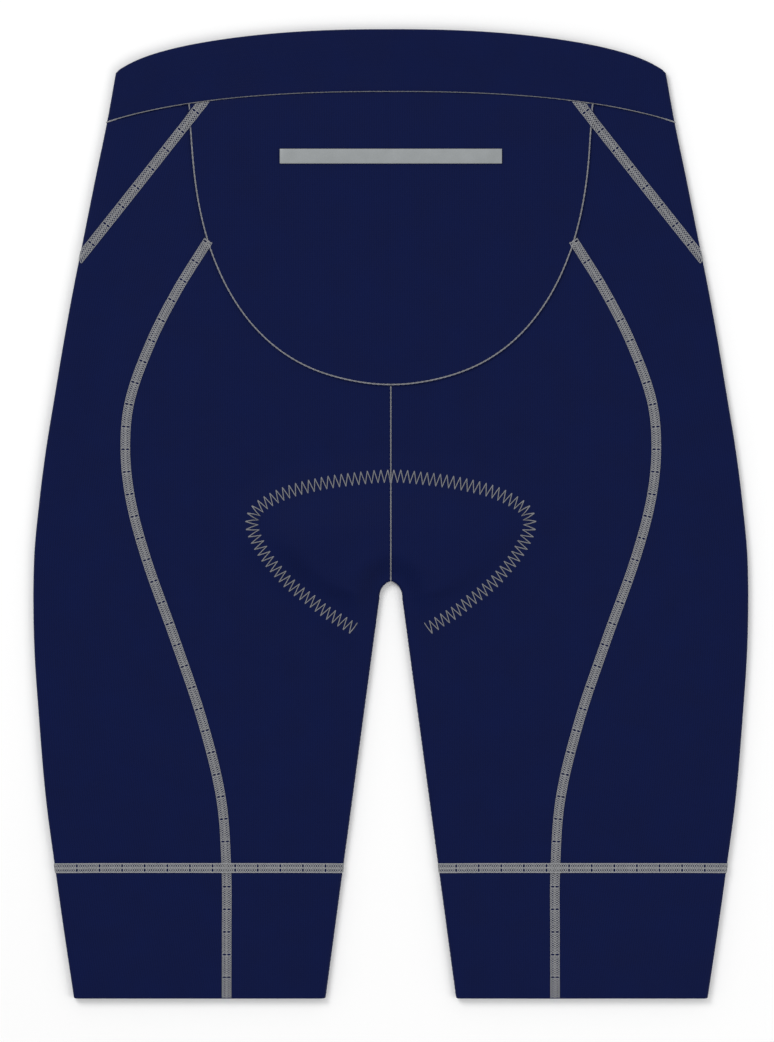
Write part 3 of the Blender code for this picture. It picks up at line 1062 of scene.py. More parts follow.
@dataclass
class HipPanels(WrappedPiece):
    """Wedges between the slanting seam and the waistband."""

    tip: float = 0.015  # share of the way to the fold by which the sharp ends are cut short
    level_columns: int = 26
    rows_length: float = 60.0 * MM

    def layer(self, face: Face, hand: Hand) -> tuple[Array, Array]:
        """Points and flat places of one layer.

        Args:
            face: the layer.
            hand: the side.

        Returns:
            The points and the flat places, from the seam to the fold.
        """
        form = self.form
        corner = form.hip_corner(face)
        shares = np.linspace(self.tip, 1, self.level_columns)
        height = form.waist_seam(corner, face)
        start = form.seam_edge(height, 0.0)
        lead = (corner - start) / (form.side_at(height) - form.fold_radius - start)
        across_at, share = self.columns(lambda height: form.seam_edge(height, 0.0), mix(lead, 1, shares))
        guess = np.full(len(share), form.waist_seam_height)
        top = meeting(lambda across: form.waist_seam(across, face) - self.join, across_at, guess)
        gap = self.join * form.hip_stretch
        foot = meeting(lambda across: form.hip_seam(across) + gap, across_at, guess)
        height = mix(foot[None, :], top[None, :], graded(self.rows_length, self.fine, self.coarse)[:, None])
        return self.laid(across_at(height), height, face, hand)

    def build(self) -> None:
        """Makes both wedges."""
        for hand in Hand:
            self.sew_round("hip_panel", self.layer, hand)


@dataclass(frozen=True)
class TurnedEdge:
    """A finished edge: the cloth turns in round a small radius and lies back inside."""

    radius: float = 0.86 * MM
    depth: float = 20.0 * MM
    turn_steps: int = 6
    depth_rows: int = 8

    def rows(
        self,
        form: ShortsForm,
        across_at: Line,
        edge: Array,
        seam: Array,
        shares: Array,
        face: Face,
        hand: Hand,
    ) -> tuple[Array, Array, Array]:
        """Points of a layer between a finished edge and the seam across from it, with what is turned in.

        Args:
            form: the form that the cloth lies on.
            across_at: distance across of each column, by height.
            edge: height of the finished edge at each column.
            seam: height of the seam at each column.
            shares: rows of the part that shows, from the edge to the seam.
            face: the layer.
            hand: the side of the wearer.

        Returns:
            The points, their distance across and their place up the flat cloth, in rows towards +Y.
        """
        inward = np.sign(seam - edge)[None, :]
        extent = np.abs(seam - edge)[None, :]
        turn = np.linspace(math.pi, 0, self.turn_steps + 1)[1:-1, None]
        inside = np.linspace(self.depth, self.radius, self.depth_rows)[:, None]
        level = mix(self.radius, extent, shares[:, None])
        blank = np.zeros_like(extent)
        away = np.concatenate([inside + blank, self.radius + 0 * turn + blank, level])
        showing = 0 * shares[:, None]
        under = np.concatenate([2 * self.radius + 0 * inside, self.radius * (1 - np.cos(turn)), showing])
        past = np.concatenate([0 * inside, self.radius * np.sin(turn), showing])
        round_turn = self.radius * (1 - turn)
        lying = self.radius * (2 - math.pi) - inside
        flat = np.concatenate([lying + blank, round_turn + blank, level]) * inward + edge[None, :]
        height = edge[None, :] + inward * away
        across = across_at(height)
        points = form.place(across, height, face, hand)
        points -= form.outward(across, height, face, hand) * under[..., None]
        points[..., 1] -= inward * past
        order = slice(None) if inward.flat[0] > 0 else slice(None, None, -1)
        return points[order], across[order], flat[order]


@dataclass
class LegBands(WrappedPiece):
    """Bands round the hems: a back, a front and a side piece for each leg."""

    hem: TurnedEdge = TurnedEdge()
    inner_width: float = 54.0 * MM
    side_width: float = 92.0 * MM

    def hemmed(self, across_at: Line, columns: int, face: Face, hand: Hand) -> tuple[Array, ...]:
        """Points of a layer from the turned hem to the seam above the band.

        Args:
            across_at: distance across of each column, by height.
            columns: their number.
            face: the layer.
            hand: the side of the wearer.

        Returns:
            The points, their distance across and their place up the flat cloth.
        """
        edge = np.zeros(columns)
        seam = edge + self.form.band_height - self.join
        rows = graded(self.form.band_height, self.fine, self.coarse)
        return self.hem.rows(self.form, across_at, edge, seam, rows, face, hand)

    def inner_cut(self, face: Face, hand: Hand) -> Cut:
        """Back or front piece, from the middle of the inside fold to the curved seam.

        Args:
            face: the layer.
            hand: the side.

        Returns:
            The sheet.
        """
        form = self.form
        fold = self.fold_columns()[::-1]
        shares = graded(self.inner_width, self.fine, self.coarse)
        extra = np.concatenate([self.join - fold, np.zeros(len(shares))])
        share = np.concatenate([np.zeros(len(fold)), shares])

        def across_at(height: Array) -> Array:
            """Columns from the inside fold to the curved seam."""
            start = form.inseam_at(height) + form.fold_radius
            return mix(start, form.seam_edge(height, -self.join), share) + extra

        points, across, up = self.hemmed(across_at, len(share), face, hand)
        return Cut(points, np.stack([across, up], axis=-1), face.upward == hand.value)

    def side_layer(self, face: Face, hand: Hand) -> tuple[Array, Array]:
        """Points and flat places of one layer of a side piece.

        Args:
            face: the layer.
            hand: the side.

        Returns:
            The points and the flat places, from the seam to the fold.
        """
        form = self.form
        shares = graded_from(self.side_width, self.fine, self.coarse)
        across_at, share = self.columns(lambda height: form.seam_edge(height, self.join), shares)
        points, across, up = self.hemmed(across_at, len(share), face, hand)
        return points, np.stack([self.from_fold(across, np.clip(up, 0, None), face), up], axis=-1)

    def build(self) -> None:
        """Makes the three pieces of each band."""
        for hand in Hand:
            names = {face: f"hem_band_{face.value}_cloth_{hand.side}" for face in Face}
            for face in (Face.FRONT, Face.BACK):
                below = [names[Face.FRONT]] if face is Face.BACK else []
                self.sew(f"hem_band_{face.value}_{hand.side}", names[face], self.inner_cut(face, hand), below)
            self.sew_round("hem_band_side", self.side_layer, hand)


@dataclass
class Waistband(WrappedPiece):
    """The band round the waist, folded over at its top."""

    fold: TurnedEdge = TurnedEdge(depth=17.0 * MM)
    back_lift: float = 0.8 * MM  # how far it stands proud of the panels
    patch_lift: float = 0.55 * MM  # and further where the patch pocket is sewn in below it
    patch_fade: float = 14.0 * MM
    front_lift: float = 0.45 * MM
    gather: float = 0.09 * MM  # of the small upright ripples that the elastic draws up
    gather_pitch: float = 6.3 * MM
    gather_wander: float = 1.7  # by which their spacing shifts, in radians, and the length that it takes
    gather_wander_length: float = 31.0 * MM
    gather_start: float = 0.6
    gather_fade: float = 6.0 * MM  # from the seam
    half_width: float = 152.0 * MM
    band_width: float = 33.0 * MM

    def back_proud(self, across: Array) -> Array:
        """How far the back stands proud of the panels."""
        over_patch = eased(1 - (across - self.form.pocket_half) / self.patch_fade)
        return self.back_lift + self.patch_lift * over_patch

    def layer(self, face: Face, hand: Hand) -> tuple[Array, ...]:
        """Points of a quarter of the band, its flat places and the half width of each row.

        Args:
            face: the layer.
            hand: the side.

        Returns:
            The points, the flat places and the half width.
        """
        form = self.form
        shares = graded_from(self.half_width, self.coarse, self.coarse)
        across_at, share = self.columns(np.zeros_like, shares)
        guess = np.full(len(share), form.waist_seam_height)
        edge = meeting(lambda across: form.waist_top(across, face), across_at, guess)
        seam = meeting(lambda across: form.waist_seam(across, face) + self.join, across_at, guess)
        rows = graded(self.band_width, self.fine, self.coarse)
        points, across, up = self.fold.rows(form, across_at, edge, seam, rows, face, hand)
        near = form.level_share(across, up)
        signed = across * hand.value
        wander = self.gather_wander * np.sin(signed / self.gather_wander_length + self.gather_start)
        ripple = self.gather * np.sin(2 * math.pi * signed / self.gather_pitch + wander)
        fade = eased((up - seam[None, :]) / self.gather_fade)
        proud = self.back_proud(across) if face is Face.BACK else -self.front_lift
        points[..., 2] += near * (proud + ripple * fade * face.upward)
        half = form.side_at(up) - form.fold_radius + form.half_girth
        return points, np.stack([across, up - seam[None, :]], axis=-1), half

    def build(self) -> None:
        """Makes the band as one ring, from the centre back and round."""
        rings, flats = [], []
        for hand in Hand:
            back, back_flat, half = self.layer(Face.BACK, hand)
            front, front_flat, front_half = self.layer(Face.FRONT, hand)
            front_flat[..., 0] = half[:, :1] + front_half[:, :1] - front_flat[..., 0]
            rings.append(np.concatenate([back, front[:, -2::-1]], axis=1))
            flats.append(np.concatenate([back_flat, front_flat[:, -2::-1]], axis=1))
        flats[1][..., 0] = 2 * flats[0][:, -1:, 0] - flats[1][..., 0]
        points = np.concatenate([rings[0], rings[1][:, ::-1]], axis=1)
        flat = np.concatenate([flats[0], flats[1][:, ::-1]], axis=1)
        self.sew("waistband", "waistband_cloth", Cut(points, flat, True), [])


@dataclass
class PatchPocket(ClothPiece):
    """Patch on the seat, half of a superellipse hung from the waistband, with a slit for its mouth."""

    mouth_half: float = 57.0 * MM
    mouth_width: float = 2.0 * MM
    mouth_height: float = 462.8 * MM
    step: float = 2.4 * MM  # spacing of the mesh round the patch
    coarser: float = 1.6  # times the usual spacing, inside the patch
    edge_places: int = 2000
    typical_reach: float = 60.0 * MM  # from the mouth to the edge

    def rim(self) -> Array:
        """Right half of the edge, from the middle of the top down to the middle of the foot.

        Returns:
            Distance across and height of each place.
        """
        form = self.form
        line = form.pocket_edge(np.linspace(math.pi / 2, 0, self.edge_places)) - [0, self.join]
        across = np.arange(0, line[0, 0], self.step)
        top = np.column_stack([across, form.waist_seam(across, Face.BACK) - self.join])
        way = run_lengths(line)
        even = np.linspace(0, way[-1], round(way[-1] / self.step))
        return np.concatenate([top, np.column_stack([np.interp(even, way, line[:, k]) for k in (0, 1)])])

    def lips(self, rim: Array) -> Array:
        """Place on the mouth's edge that faces each place on the rim.

        Args:
            rim: places on the rim.

        Returns:
            Distance across and height of each place.
        """
        way = run_lengths(rim)
        above = rim[:, 1] > self.mouth_height
        share = np.where(above, way / way[above][-1], (way[-1] - way) / (way[-1] - way[~above][0]))
        side = np.where(above, 0.5, -0.5) * self.mouth_width
        return np.column_stack([self.mouth_half * share, self.mouth_height + side])

    def cut(self) -> Cut:
        """Outer face of the patch, in rings from its mouth to its edge.

        Returns:
            The sheet.
        """
        rim = self.rim()
        lips = self.lips(rim)
        flip = np.array([-1, 1])
        rim = np.concatenate([rim, (rim * flip)[-2::-1]])
        lips = np.concatenate([lips, (lips * flip)[-2::-1]])
        share = graded(self.typical_reach, self.fine, self.coarser * self.coarse)[:, None, None]
        plan = mix(lips[None], rim[None], share)
        across, height = plan[..., 0], plan[..., 1]
        points = self.form.spot(across, height, self.form.patch_top(across, height), Hand.RIGHT)
        return Cut(points, plan, True)

    def build(self) -> None:
        """Makes the patch."""
        below = [f"back_panel_cloth_{hand.side}" for hand in Hand]
        self.sew("pocket_panel", "pocket_panel_cloth", self.cut(), below)


@dataclass
class PocketWelt(ClothPiece):
    """Tape over the pocket's mouth, its long edges turned under."""

    half: float = 61.0 * MM
    width: float = 8.2 * MM
    middle_height: float = 462.8 * MM
    turn_radius: float = 0.42 * MM
    turned_under: float = 3.1 * MM
    crown: float = 0.12 * MM
    clearance: float = 0.12 * MM
    columns: int = 56
    turn_steps: int = 5
    level_steps: int = 9

    @property
    def top(self) -> float:
        """Height of the tape's upper face above the pocket."""
        return self.clearance + 2 * self.turn_radius

    def profile(self) -> Array:
        """Rows across the tape.

        Returns:
            Distance from the middle, height above the pocket and distance round, for each row.
        """
        radius, edge = self.turn_radius, self.width / 2 - self.turn_radius
        level = np.linspace(-edge, edge, self.level_steps)
        rows = [(-edge + self.turned_under - radius, self.clearance)]
        for turn in np.linspace(0, math.pi, self.turn_steps + 1)[:-1]:
            rows.append((-edge - radius * math.sin(turn), self.clearance + radius * (1 - math.cos(turn))))
        rows += [(place, self.top + self.crown * (1 - (place / edge) ** 2)) for place in level]
        mirror = [(-place, above) for place, above in rows[: self.turn_steps + 1]]
        rows = np.array(rows + mirror[::-1])
        return np.column_stack([rows, run_lengths(rows)])

    def cut(self) -> Cut:
        """Outer face of the tape.

        Returns:
            The sheet.
        """
        form = self.form
        profile = self.profile()[:, None, :]
        across = np.linspace(-self.half, self.half, self.columns)[None, :]
        height = self.middle_height + profile[..., 0] + 0 * across
        across = across + 0 * height
        points = form.spot(across, height, form.patch_top(across, height) + profile[..., 1], Hand.RIGHT)
        return Cut(points, np.stack([across, profile[..., 2] + 0 * across], axis=-1), True)

    def build(self) -> None:
        """Makes the tape."""
        self.sew("pocket_welt", "pocket_welt_tape", self.cut(), ["pocket_panel_cloth"])


@dataclass
class SeatPad:
    """Pad between the two layers: crowned, with sewn channels, and thin at its edge."""

    form: ShortsForm
    finish: Material
    clearance: float = 2.0 * MM  # below the outer face of the back
    underside: float = 1.7 * MM  # above the ground
    edge_round: float = 4.0 * MM
    channel_depth: float = 1.0 * MM
    channel_width: float = 2.2 * MM
    channel_shares: tuple[float, ...] = (0.36, 0.72)
    rows: int = 110
    columns: int = 44
    weld: float = 0.02 * MM

    def inner_radius(self, angle: Array) -> Array:
        """Reach of the edge beside the inside fold, about the middle of the inner round.

        Args:
            angle: angles, in radians.

        Returns:
            The reach at each angle.
        """
        form = self.form
        from_fold = form.pad_round + form.fold_radius + form.pad_inset
        lean = (form.hem_gap_half - form.pad_round) / form.pad_middle
        below = from_fold / (np.cos(angle) + lean * np.sin(angle))
        return np.where(angle > 0, from_fold, below)

    def build(self) -> None:
        """Makes the pad a closed form, crowned by its own section."""
        form = self.form
        first = math.radians(PAD_OUTLINE[0].angle)
        angle = np.linspace(first, math.pi - first, self.rows)[:, None]
        folded = np.where(angle > math.pi / 2, math.pi - angle, angle)
        share = np.linspace(0, 1, self.columns)[None, :]
        near = self.inner_radius(folded)
        far = np.maximum(form.pad_reach(np.degrees(folded)), near + form.pad_inset)
        radius = mix(near, far, share)
        across, height = radius * np.cos(folded), form.pad_middle + radius * np.sin(folded)
        signed = radius * np.cos(angle)
        end = np.minimum(angle - first, math.pi - first - angle) * radius
        rim = np.minimum(np.minimum(share, 1 - share) * (far - near), end)
        full = np.sqrt(1 - (1 - np.clip(rim / self.edge_round, 0, 1)) ** 2)
        top = form.surface(across, height, Face.BACK, Hand.RIGHT) - self.clearance
        for channel in self.channel_shares:
            top = top - self.channel_depth * bell((share - channel) * (far - near), self.channel_width)
        top = top - self.channel_depth * bell(across, self.channel_width)
        middle, half = (top + self.underside) / 2, (top - self.underside) / 2 * full
        rows, columns = radius.shape
        skins = [form.spot(signed, height, middle + way * half, Hand.RIGHT) for way in (1, -1)]
        quads = grid_quads(rows, columns)
        faces = np.concatenate([quads, quads[:, ::-1] + rows * columns])
        mesh = bpy.data.meshes.new(PAD_NAME)
        mesh.from_pydata(np.concatenate(skins).reshape(-1, 3).tolist(), [], faces.tolist())
        with editing(mesh) as made:
            bmesh.ops.remove_doubles(made, verts=made.verts, dist=self.weld)
            bmesh.ops.recalc_face_normals(made, faces=made.faces)
        piece = add_piece(PAD_NAME, mesh, self.finish)
        smooth(piece)
        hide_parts("seat_pad")
        report(piece)


# ---- Seams ----
STITCH_WELD = 0.001 * MM


class Strand(NamedTuple):
    """One thread of a stitch: its points along, across and out from the seam, in millimetres."""

    points: tuple[tuple[float, float, float], ...]
    closed: bool = False
    thickness: float = 1.0


@dataclass(frozen=True)
class Stitch:
    """One repeat of a stitch, as points along, across and out from its seam, and the faces between them."""

    pitch: float
    points: Array
    faces: tuple[tuple[int, ...], ...]

    @staticmethod
    def of(strands: Sequence[Strand], pitch: float, thread: float) -> "Stitch":
        """Models a stitch as round threads.

        Args:
            strands: its threads.
            pitch: length of one repeat, in metres.
            thread: diameter of a thread of thickness 1, in metres.

        Returns:
            The stitch.
        """
        curve = bpy.data.curves.new("stitch", "CURVE")
        curve.dimensions = "3D"
        curve.bevel_depth = thread / 2
        curve.bevel_resolution = 0
        curve.use_fill_caps = True
        for strand in strands:
            spline = curve.splines.new("POLY")
            spline.points.add(len(strand.points) - 1)
            for point, place in zip(spline.points, strand.points):
                point.co = (*(MM * value for value in place), 1.0)
                point.radius = strand.thickness
            spline.use_cyclic_u = strand.closed
        guide = bpy.data.objects.new("stitch", curve)
        bpy.context.scene.collection.objects.link(guide)
        only_selected(guide)
        bpy.ops.object.convert(target="MESH")
        with editing(guide.data) as made:
            bmesh.ops.remove_doubles(made, verts=made.verts, dist=STITCH_WELD)
            made.verts.index_update()
            points = np.array([vert.co for vert in made.verts])
            faces = tuple(tuple(vert.index for vert in face.verts) for face in made.faces)
        bpy.data.objects.remove(guide, do_unlink=True)
        return Stitch(pitch, points, faces)


@dataclass(frozen=True)
class Route:
    """Way of a seam over one face, as places on the form close to each other."""

    face: Face
    hand: Hand
    plan: Array

    @property
    def along(self) -> Array:
        """Distance of each place from the start."""
        return run_lengths(self.plan)

    def at(self, distance: Array) -> tuple[Array, Array]:
        """Places and directions at distances from the start.

        Args:
            distance: the distances.

        Returns:
            The places and the unit vectors along the route.
        """
        along = self.along
        tangent = np.gradient(self.plan, along, axis=0)
        place = np.stack([np.interp(distance, along, self.plan[:, k]) for k in (0, 1)], axis=-1)
        direction = np.stack([np.interp(distance, along, tangent[:, k]) for k in (0, 1)], axis=-1)
        return place, direction / np.linalg.norm(direction, axis=-1, keepdims=True)


def even_lift(rise: float) -> Lift:
    """Lift that is the same all along a seam."""
    return lambda across, height: np.full(np.broadcast(across, height).shape, rise)


@dataclass
class Sewing:
    """Sews stitches along routes."""

    form: ShortsForm
    sharp_degrees: float = 75.0

    def sew(
        self,
        name: str,
        runs: Sequence[tuple[Route, Sequence[Stitch], Lift]],
        finish: Material,
        slot: str = "grey_trim",
    ) -> Object:
        """Makes one piece of the stitches along some routes.

        Args:
            name: the piece's name.
            runs: each route, the stitches that take turns along it, and how far they are lifted off the form.
            finish: the thread's material.
            slot: name of a material slot; not used.

        Returns:
            The piece.
        """
        all_points, all_faces, used = [], [], 0
        for route, stitches, lift in runs:
            length = route.along[-1]
            count = max(1, round(length / stitches[0].pitch))
            pitch = length / count
            for turn, stitch in enumerate(stitches):
                middles = (np.arange(turn, count, len(stitches)) + 0.5) * pitch
                stretch = pitch / stitch.pitch
                along = middles[:, None] + stitch.points[None, :, 0] * stretch
                centre, direction = route.at(np.clip(along, 0, length))
                past = along - np.clip(along, 0, length)
                side = np.stack([direction[..., 1], -direction[..., 0]], axis=-1)
                plan = centre + direction * past[..., None] + side * stitch.points[None, :, 1, None]
                across, height = plan[..., 0], plan[..., 1]
                points = self.form.place(across, height, route.face, route.hand)
                out = self.form.outward(across, height, route.face, route.hand)
                points += out * (stitch.points[None, :, 2] + lift(across, height))[..., None]
                all_points.append(points.reshape(-1, 3))
                for number in range(len(middles)):
                    start = used + number * len(stitch.points)
                    all_faces += [tuple(start + corner for corner in face) for face in stitch.faces]
                used += points.shape[0] * points.shape[1]
        mesh = bpy.data.meshes.new(name)
        mesh.from_pydata(np.concatenate(all_points).tolist(), [], all_faces)
        with editing(mesh) as made:
            bmesh.ops.recalc_face_normals(made, faces=made.faces)
        piece = add_piece(name, mesh, finish)
        smooth(piece, self.sharp_degrees)
        report(piece)
        return piece


class Seam(Enum):
    """The wide seams of each quarter."""

    CURVED = "curved"
    SLANT = "slant"
    BAND = "band"


@dataclass
class Flatlocks:
    """The wide grey seams: rows of needle thread with cover threads laced between them."""

    sewing: Sewing
    finish: Material
    pitch: float = 2.48  # millimetres, as are the sizes below
    slant_pitch: float = 2.65  # of the seam at the hip, whose stitches are longer
    outer_row: float = 2.35
    drawn_outer_row: float = 2.40  # of the seams down the leg and hip, whose outer rows are drawn thin
    row_low: float = 0.12  # of a needle stitch at its ends
    row_high: float = 0.28
    row_shares: tuple[float, float] = (1.12, 1.25)  # thickness of the outer and middle rows, in threads
    drawn_row_shares: tuple[float, float] = (0.56, 0.84)
    thread: float = 0.50
    cover_thread: float = 0.37
    cover_inner: float = 0.15
    cover_outer: float = 2.20
    cover_low: float = 0.18
    cover_high: float = 0.32
    crossings: int = 2
    open_every: int = 5  # stitches from one gap in the lacing to the next
    gap: float = 0.84  # between the cover threads there
    crossing_reach: float = 3.9
    crossing_fade: float = 1.2
    crossing_lift: float = 0.5  # of the band's seam over the leg's, on the back
    crossing_press: float = 0.35  # of the leg's seam into the cloth, on the front
    sunk: float = 0.4  # where a seam goes in below the waistband
    sinks_from: float = 0.6
    sink_fade: float = 0.6
    past_waist: float = 3.0
    past_side: float = 1.2
    foot: float = 0.6  # from the hem to the long seam
    front_top: float = 480.0  # about where the long seam ends on the front
    band_places: int = 150
    step_fade: float = 2.4  # over which a seam climbs the edge of the pocket

    def row(self, across: float, share: float, pitch: float) -> Strand:
        """One needle stitch, its ends drawn into the cloth and its thickness a share of the thread's."""
        half, low, high = pitch / 2, self.row_low, self.row_high
        return Strand(((-half, across, low), (0, across, high), (half, across, low)), thickness=share)

    def lacing(self, sign: int, pitch: float, opened: bool) -> list[Strand]:
        """Cover threads between the middle and the outer row of a side, which cross each other.

        Args:
            sign: the side of the seam.
            pitch: length of the stitch.
            opened: leaves a gap halfway, so that the cloth shows.

        Returns:
            The threads of one stitch.
        """
        step = pitch / self.crossings
        places = [(k - self.crossings / 2) * step for k in range(self.crossings + 1)]
        half_gap = self.gap / 2 if opened else 0.0
        strands = []
        for first, last in zip(places, places[1:]):
            first += half_gap if abs(first) < step / 2 else 0.0
            last -= half_gap if abs(last) < step / 2 else 0.0
            for start, end, out in ((first, last, self.cover_high), (last, first, self.cover_low)):
                ends = ((start, sign * self.cover_inner, out), (end, sign * self.cover_outer, out))
                strands.append(Strand(ends, thickness=self.cover_thread / self.thread))
        return strands

    def stitch(self, seam: Seam, opened: bool) -> Stitch:
        """One repeat.

        Args:
            seam: the seam.
            opened: leaves a gap in the lacing.

        Returns:
            The stitch.
        """
        outer, (side, middle) = self.drawn_outer_row, self.drawn_row_shares
        if seam is Seam.BAND:
            outer, (side, middle) = self.outer_row, self.row_shares
        pitch = self.slant_pitch if seam is Seam.SLANT else self.pitch
        rows = ((-outer, side), (0.0, middle), (outer, side))
        strands = [self.row(across, share, pitch) for across, share in rows]
        strands += self.lacing(-1, pitch, opened) + self.lacing(1, pitch, opened)
        return Stitch.of(strands, pitch * MM, self.thread * MM)

    def under_band(self, face: Face) -> Lift:
        """Sinks a seam where it goes in below the waistband.

        Args:
            face: the layer.

        Returns:
            The lift along the seam.
        """

        def lift(across: Array, height: Array) -> Array:
            """Drop at a place of the seam."""
            gap = self.sewing.form.waist_seam(across, face) - height
            return -self.sunk * MM * eased((self.sinks_from * MM - gap) / (self.sink_fade * MM))

        return lift

    def ways(self, face: Face, hand: Hand) -> dict[Seam, Route]:
        """Way of each seam over one quarter of the shorts.

        Args:
            face: the layer.
            hand: the side.

        Returns:
            The route of each seam.
        """
        form = self.sewing.form
        top = form.flatlock_top
        if face is Face.FRONT:
            beside = form.seam_at(np.array(self.front_top * MM))
            top = float(form.waist_seam(beside, face)) + self.past_waist * MM
        height = np.arange(self.foot * MM, top, MM)
        curved = np.column_stack([form.seam_at(height), height])
        start = form.hip_corner(face) - self.past_waist * MM
        across = np.arange(start, form.side_at(np.array(form.hip_seam_foot)) + self.past_side * MM, MM)
        slant = np.column_stack([across, form.hip_seam(across)])
        band = np.array(form.band_height)
        inner = form.inseam_at(band) + form.fold_radius - form.half_girth
        outer = form.side_at(band) - form.fold_radius + form.half_girth
        across = np.linspace(inner, outer, self.band_places)
        level = np.column_stack([across, np.full(self.band_places, form.band_height)])
        plans = {Seam.CURVED: curved, Seam.SLANT: slant, Seam.BAND: level}
        return {seam: Route(face, hand, plan) for seam, plan in plans.items()}

    def lifts(self, face: Face) -> dict[Seam, Lift]:
        """How each seam of a layer is lifted off the form.

        Args:
            face: the layer.

        Returns:
            The lift of each seam.
        """
        form, sink = self.sewing.form, self.under_band(face)
        back = face is Face.BACK
        lifted, pressed = (self.crossing_lift, 0.0) if back else (0.0, self.crossing_press)
        reach, fade = self.crossing_reach * MM, self.crossing_fade * MM

        def along_hip(across: Array, height: Array) -> Array:
            """Climbs the edge of the pocket and goes in below the waistband."""
            step = form.patch_rise(across, height, self.step_fade * MM) if back else 0.0 * across
            return step + sink(across, height)

        def along_leg(across: Array, height: Array) -> Array:
            """Does the same, and is pressed in where the band's seam crosses it on the front."""
            gap = reach - np.abs(height - form.band_height)
            return along_hip(across, height) - pressed * MM * eased(gap / fade)

        def over_leg(across: Array, height: Array) -> Array:
            """Rises over the leg's seam on the back."""
            gap = reach - np.abs(across - form.seam_at(height))
            return lifted * MM * eased(gap / fade)

        return {Seam.CURVED: along_leg, Seam.SLANT: along_hip, Seam.BAND: over_leg}

    def build(self) -> None:
        """Sews each seam of each quarter."""
        turns = {}
        for seam in Seam:
            closed, opened = self.stitch(seam, False), self.stitch(seam, True)
            turns[seam] = [closed] * (self.open_every - 1) + [opened]
        for hand in Hand:
            for face in Face:
                lifts = self.lifts(face)
                for seam, route in self.ways(face, hand).items():
                    name = f"flatlock_{seam.value}_{face.value}_{hand.side}"
                    self.sewing.sew(name, [(route, turns[seam], lifts[seam])], self.finish)


@dataclass
class PlainSeams:
    """The narrow seams, each finished with a chain of small grey loops."""

    sewing: Sewing
    waistband: Waistband
    finish: Material
    hidden_finish: Material
    pitch: float = 2.6  # millimetres, as are the sizes below
    loop_width: float = 0.46
    loop_half: float = 0.62  # of the pitch
    loop_tilt: float = 0.06  # rise along the loop, of its length
    loop: tuple[tuple[float, float], ...] = (
        (-1.0, 0.0),
        (-0.5, -0.8),
        (0.3, -1.0),
        (1.0, -0.3),
        (1.0, 0.3),
        (0.3, 1.0),
        (-0.5, 0.8),
    )
    thread: float = 0.32
    above: float = 0.21
    proud: float = 0.1  # of a chain on plain cloth
    waist_sunk: float = 0.05  # of the waist seam's chain, which lies on the band
    above_waist: float = 0.15
    edge_inset: float = 0.55  # of the pocket's chain from its edge
    pressed: float = 0.35  # of the pocket's chain, where a flatlock crosses it
    pressed_reach: float = 4.0
    inseam_sunk: float = 0.28
    hem_end: float = 0.8  # from the hem to the inseam's chain
    arch_end: float = 1.0
    crotch_end: float = 0.1
    waist_places: int = 160
    edge_places: int = 400

    def chain(self) -> Stitch:
        """One loop of a chain stitch, which starts inside the last.

        Returns:
            The stitch.
        """
        half, wide = self.loop_half * self.pitch, self.loop_width / 2
        ring = [(half * along, wide * across) for along, across in self.loop]
        points = tuple((along, across, self.above + self.loop_tilt * along) for along, across in ring)
        return Stitch.of([Strand(points, closed=True)], self.pitch * MM, self.thread * MM)

    def sew_waist(self, chain: Sequence[Stitch]) -> None:
        """Sews the chain round the waistband's lower edge.

        Args:
            chain: the stitch.
        """
        form = self.sewing.form

        def over_step(across: Array, height: Array) -> Array:
            """Lies on the band, which stands proud of the back."""
            near = form.level_share(across, height)
            return near * (self.waistband.back_proud(across) - self.waist_sunk * MM)

        lifts = {Face.BACK: over_step, Face.FRONT: even_lift(self.proud * MM)}
        side = form.side_at(np.array(form.waist_seam_height - form.seam_fall))
        across = np.linspace(0, side - form.fold_radius + form.half_girth, self.waist_places)
        runs = []
        for hand in Hand:
            for face in Face:
                height = form.waist_seam(across, face) + self.above_waist * MM
                runs.append((Route(face, hand, np.column_stack([across, height])), chain, lifts[face]))
        self.sewing.sew("waist_seam_stitching", runs, self.finish)

    def pocket_line(self) -> Array:
        """Places just inside the pocket's edge, from the centre to the top of its side.

        Returns:
            Distance across and height of each place.
        """
        plan = self.sewing.form.pocket_edge(np.linspace(0, math.pi / 2, self.edge_places))
        way = np.gradient(plan, axis=0)
        way /= np.linalg.norm(way, axis=1, keepdims=True)
        return plan + self.edge_inset * MM * np.column_stack([-way[:, 1], way[:, 0]])

    def build(self) -> None:
        """Sews the waist, the pocket's edge, the two centre seams and the inseams."""
        form = self.sewing.form
        chain = [self.chain()]
        self.sew_waist(chain)

        def below_slant(across: Array, height: Array) -> Array:
            """Lies on the pocket, and is pressed in where the slanting seam crosses it."""
            gap = self.pressed_reach * MM - np.abs(height - form.hip_seam(across)) / form.hip_stretch
            return form.patch_rise(across, height) - self.pressed * MM * eased(gap / MM)

        line = self.pocket_line()
        edge = [(Route(Face.BACK, hand, line), chain, below_slant) for hand in Hand]
        self.sewing.sew("pocket_edge_stitching", edge, self.finish)

        tops = {Face.BACK: float(line[0, 1]), Face.FRONT: float(form.waist_seam(0.0, Face.FRONT))}
        for face, top in tops.items():
            height = np.arange(form.crotch_height + self.crotch_end * MM, top, MM)
            route = Route(face, Hand.RIGHT, np.column_stack([0 * height, height]))
            name = f"centre_{face.value}_stitching"
            self.sewing.sew(name, [(route, chain, even_lift(self.proud * MM))], self.finish)

        height = np.arange(self.hem_end * MM, form.arch_height - self.arch_end * MM, MM)
        across = form.inseam_at(height) + form.fold_radius - form.half_girth
        plan = np.column_stack([across, height])
        sunk = even_lift(-self.inseam_sunk * MM)
        inseams = [(Route(Face.BACK, hand, plan), chain, sunk) for hand in Hand]
        self.sewing.sew("inseam_stitching", inseams, self.hidden_finish, "navy_knit")


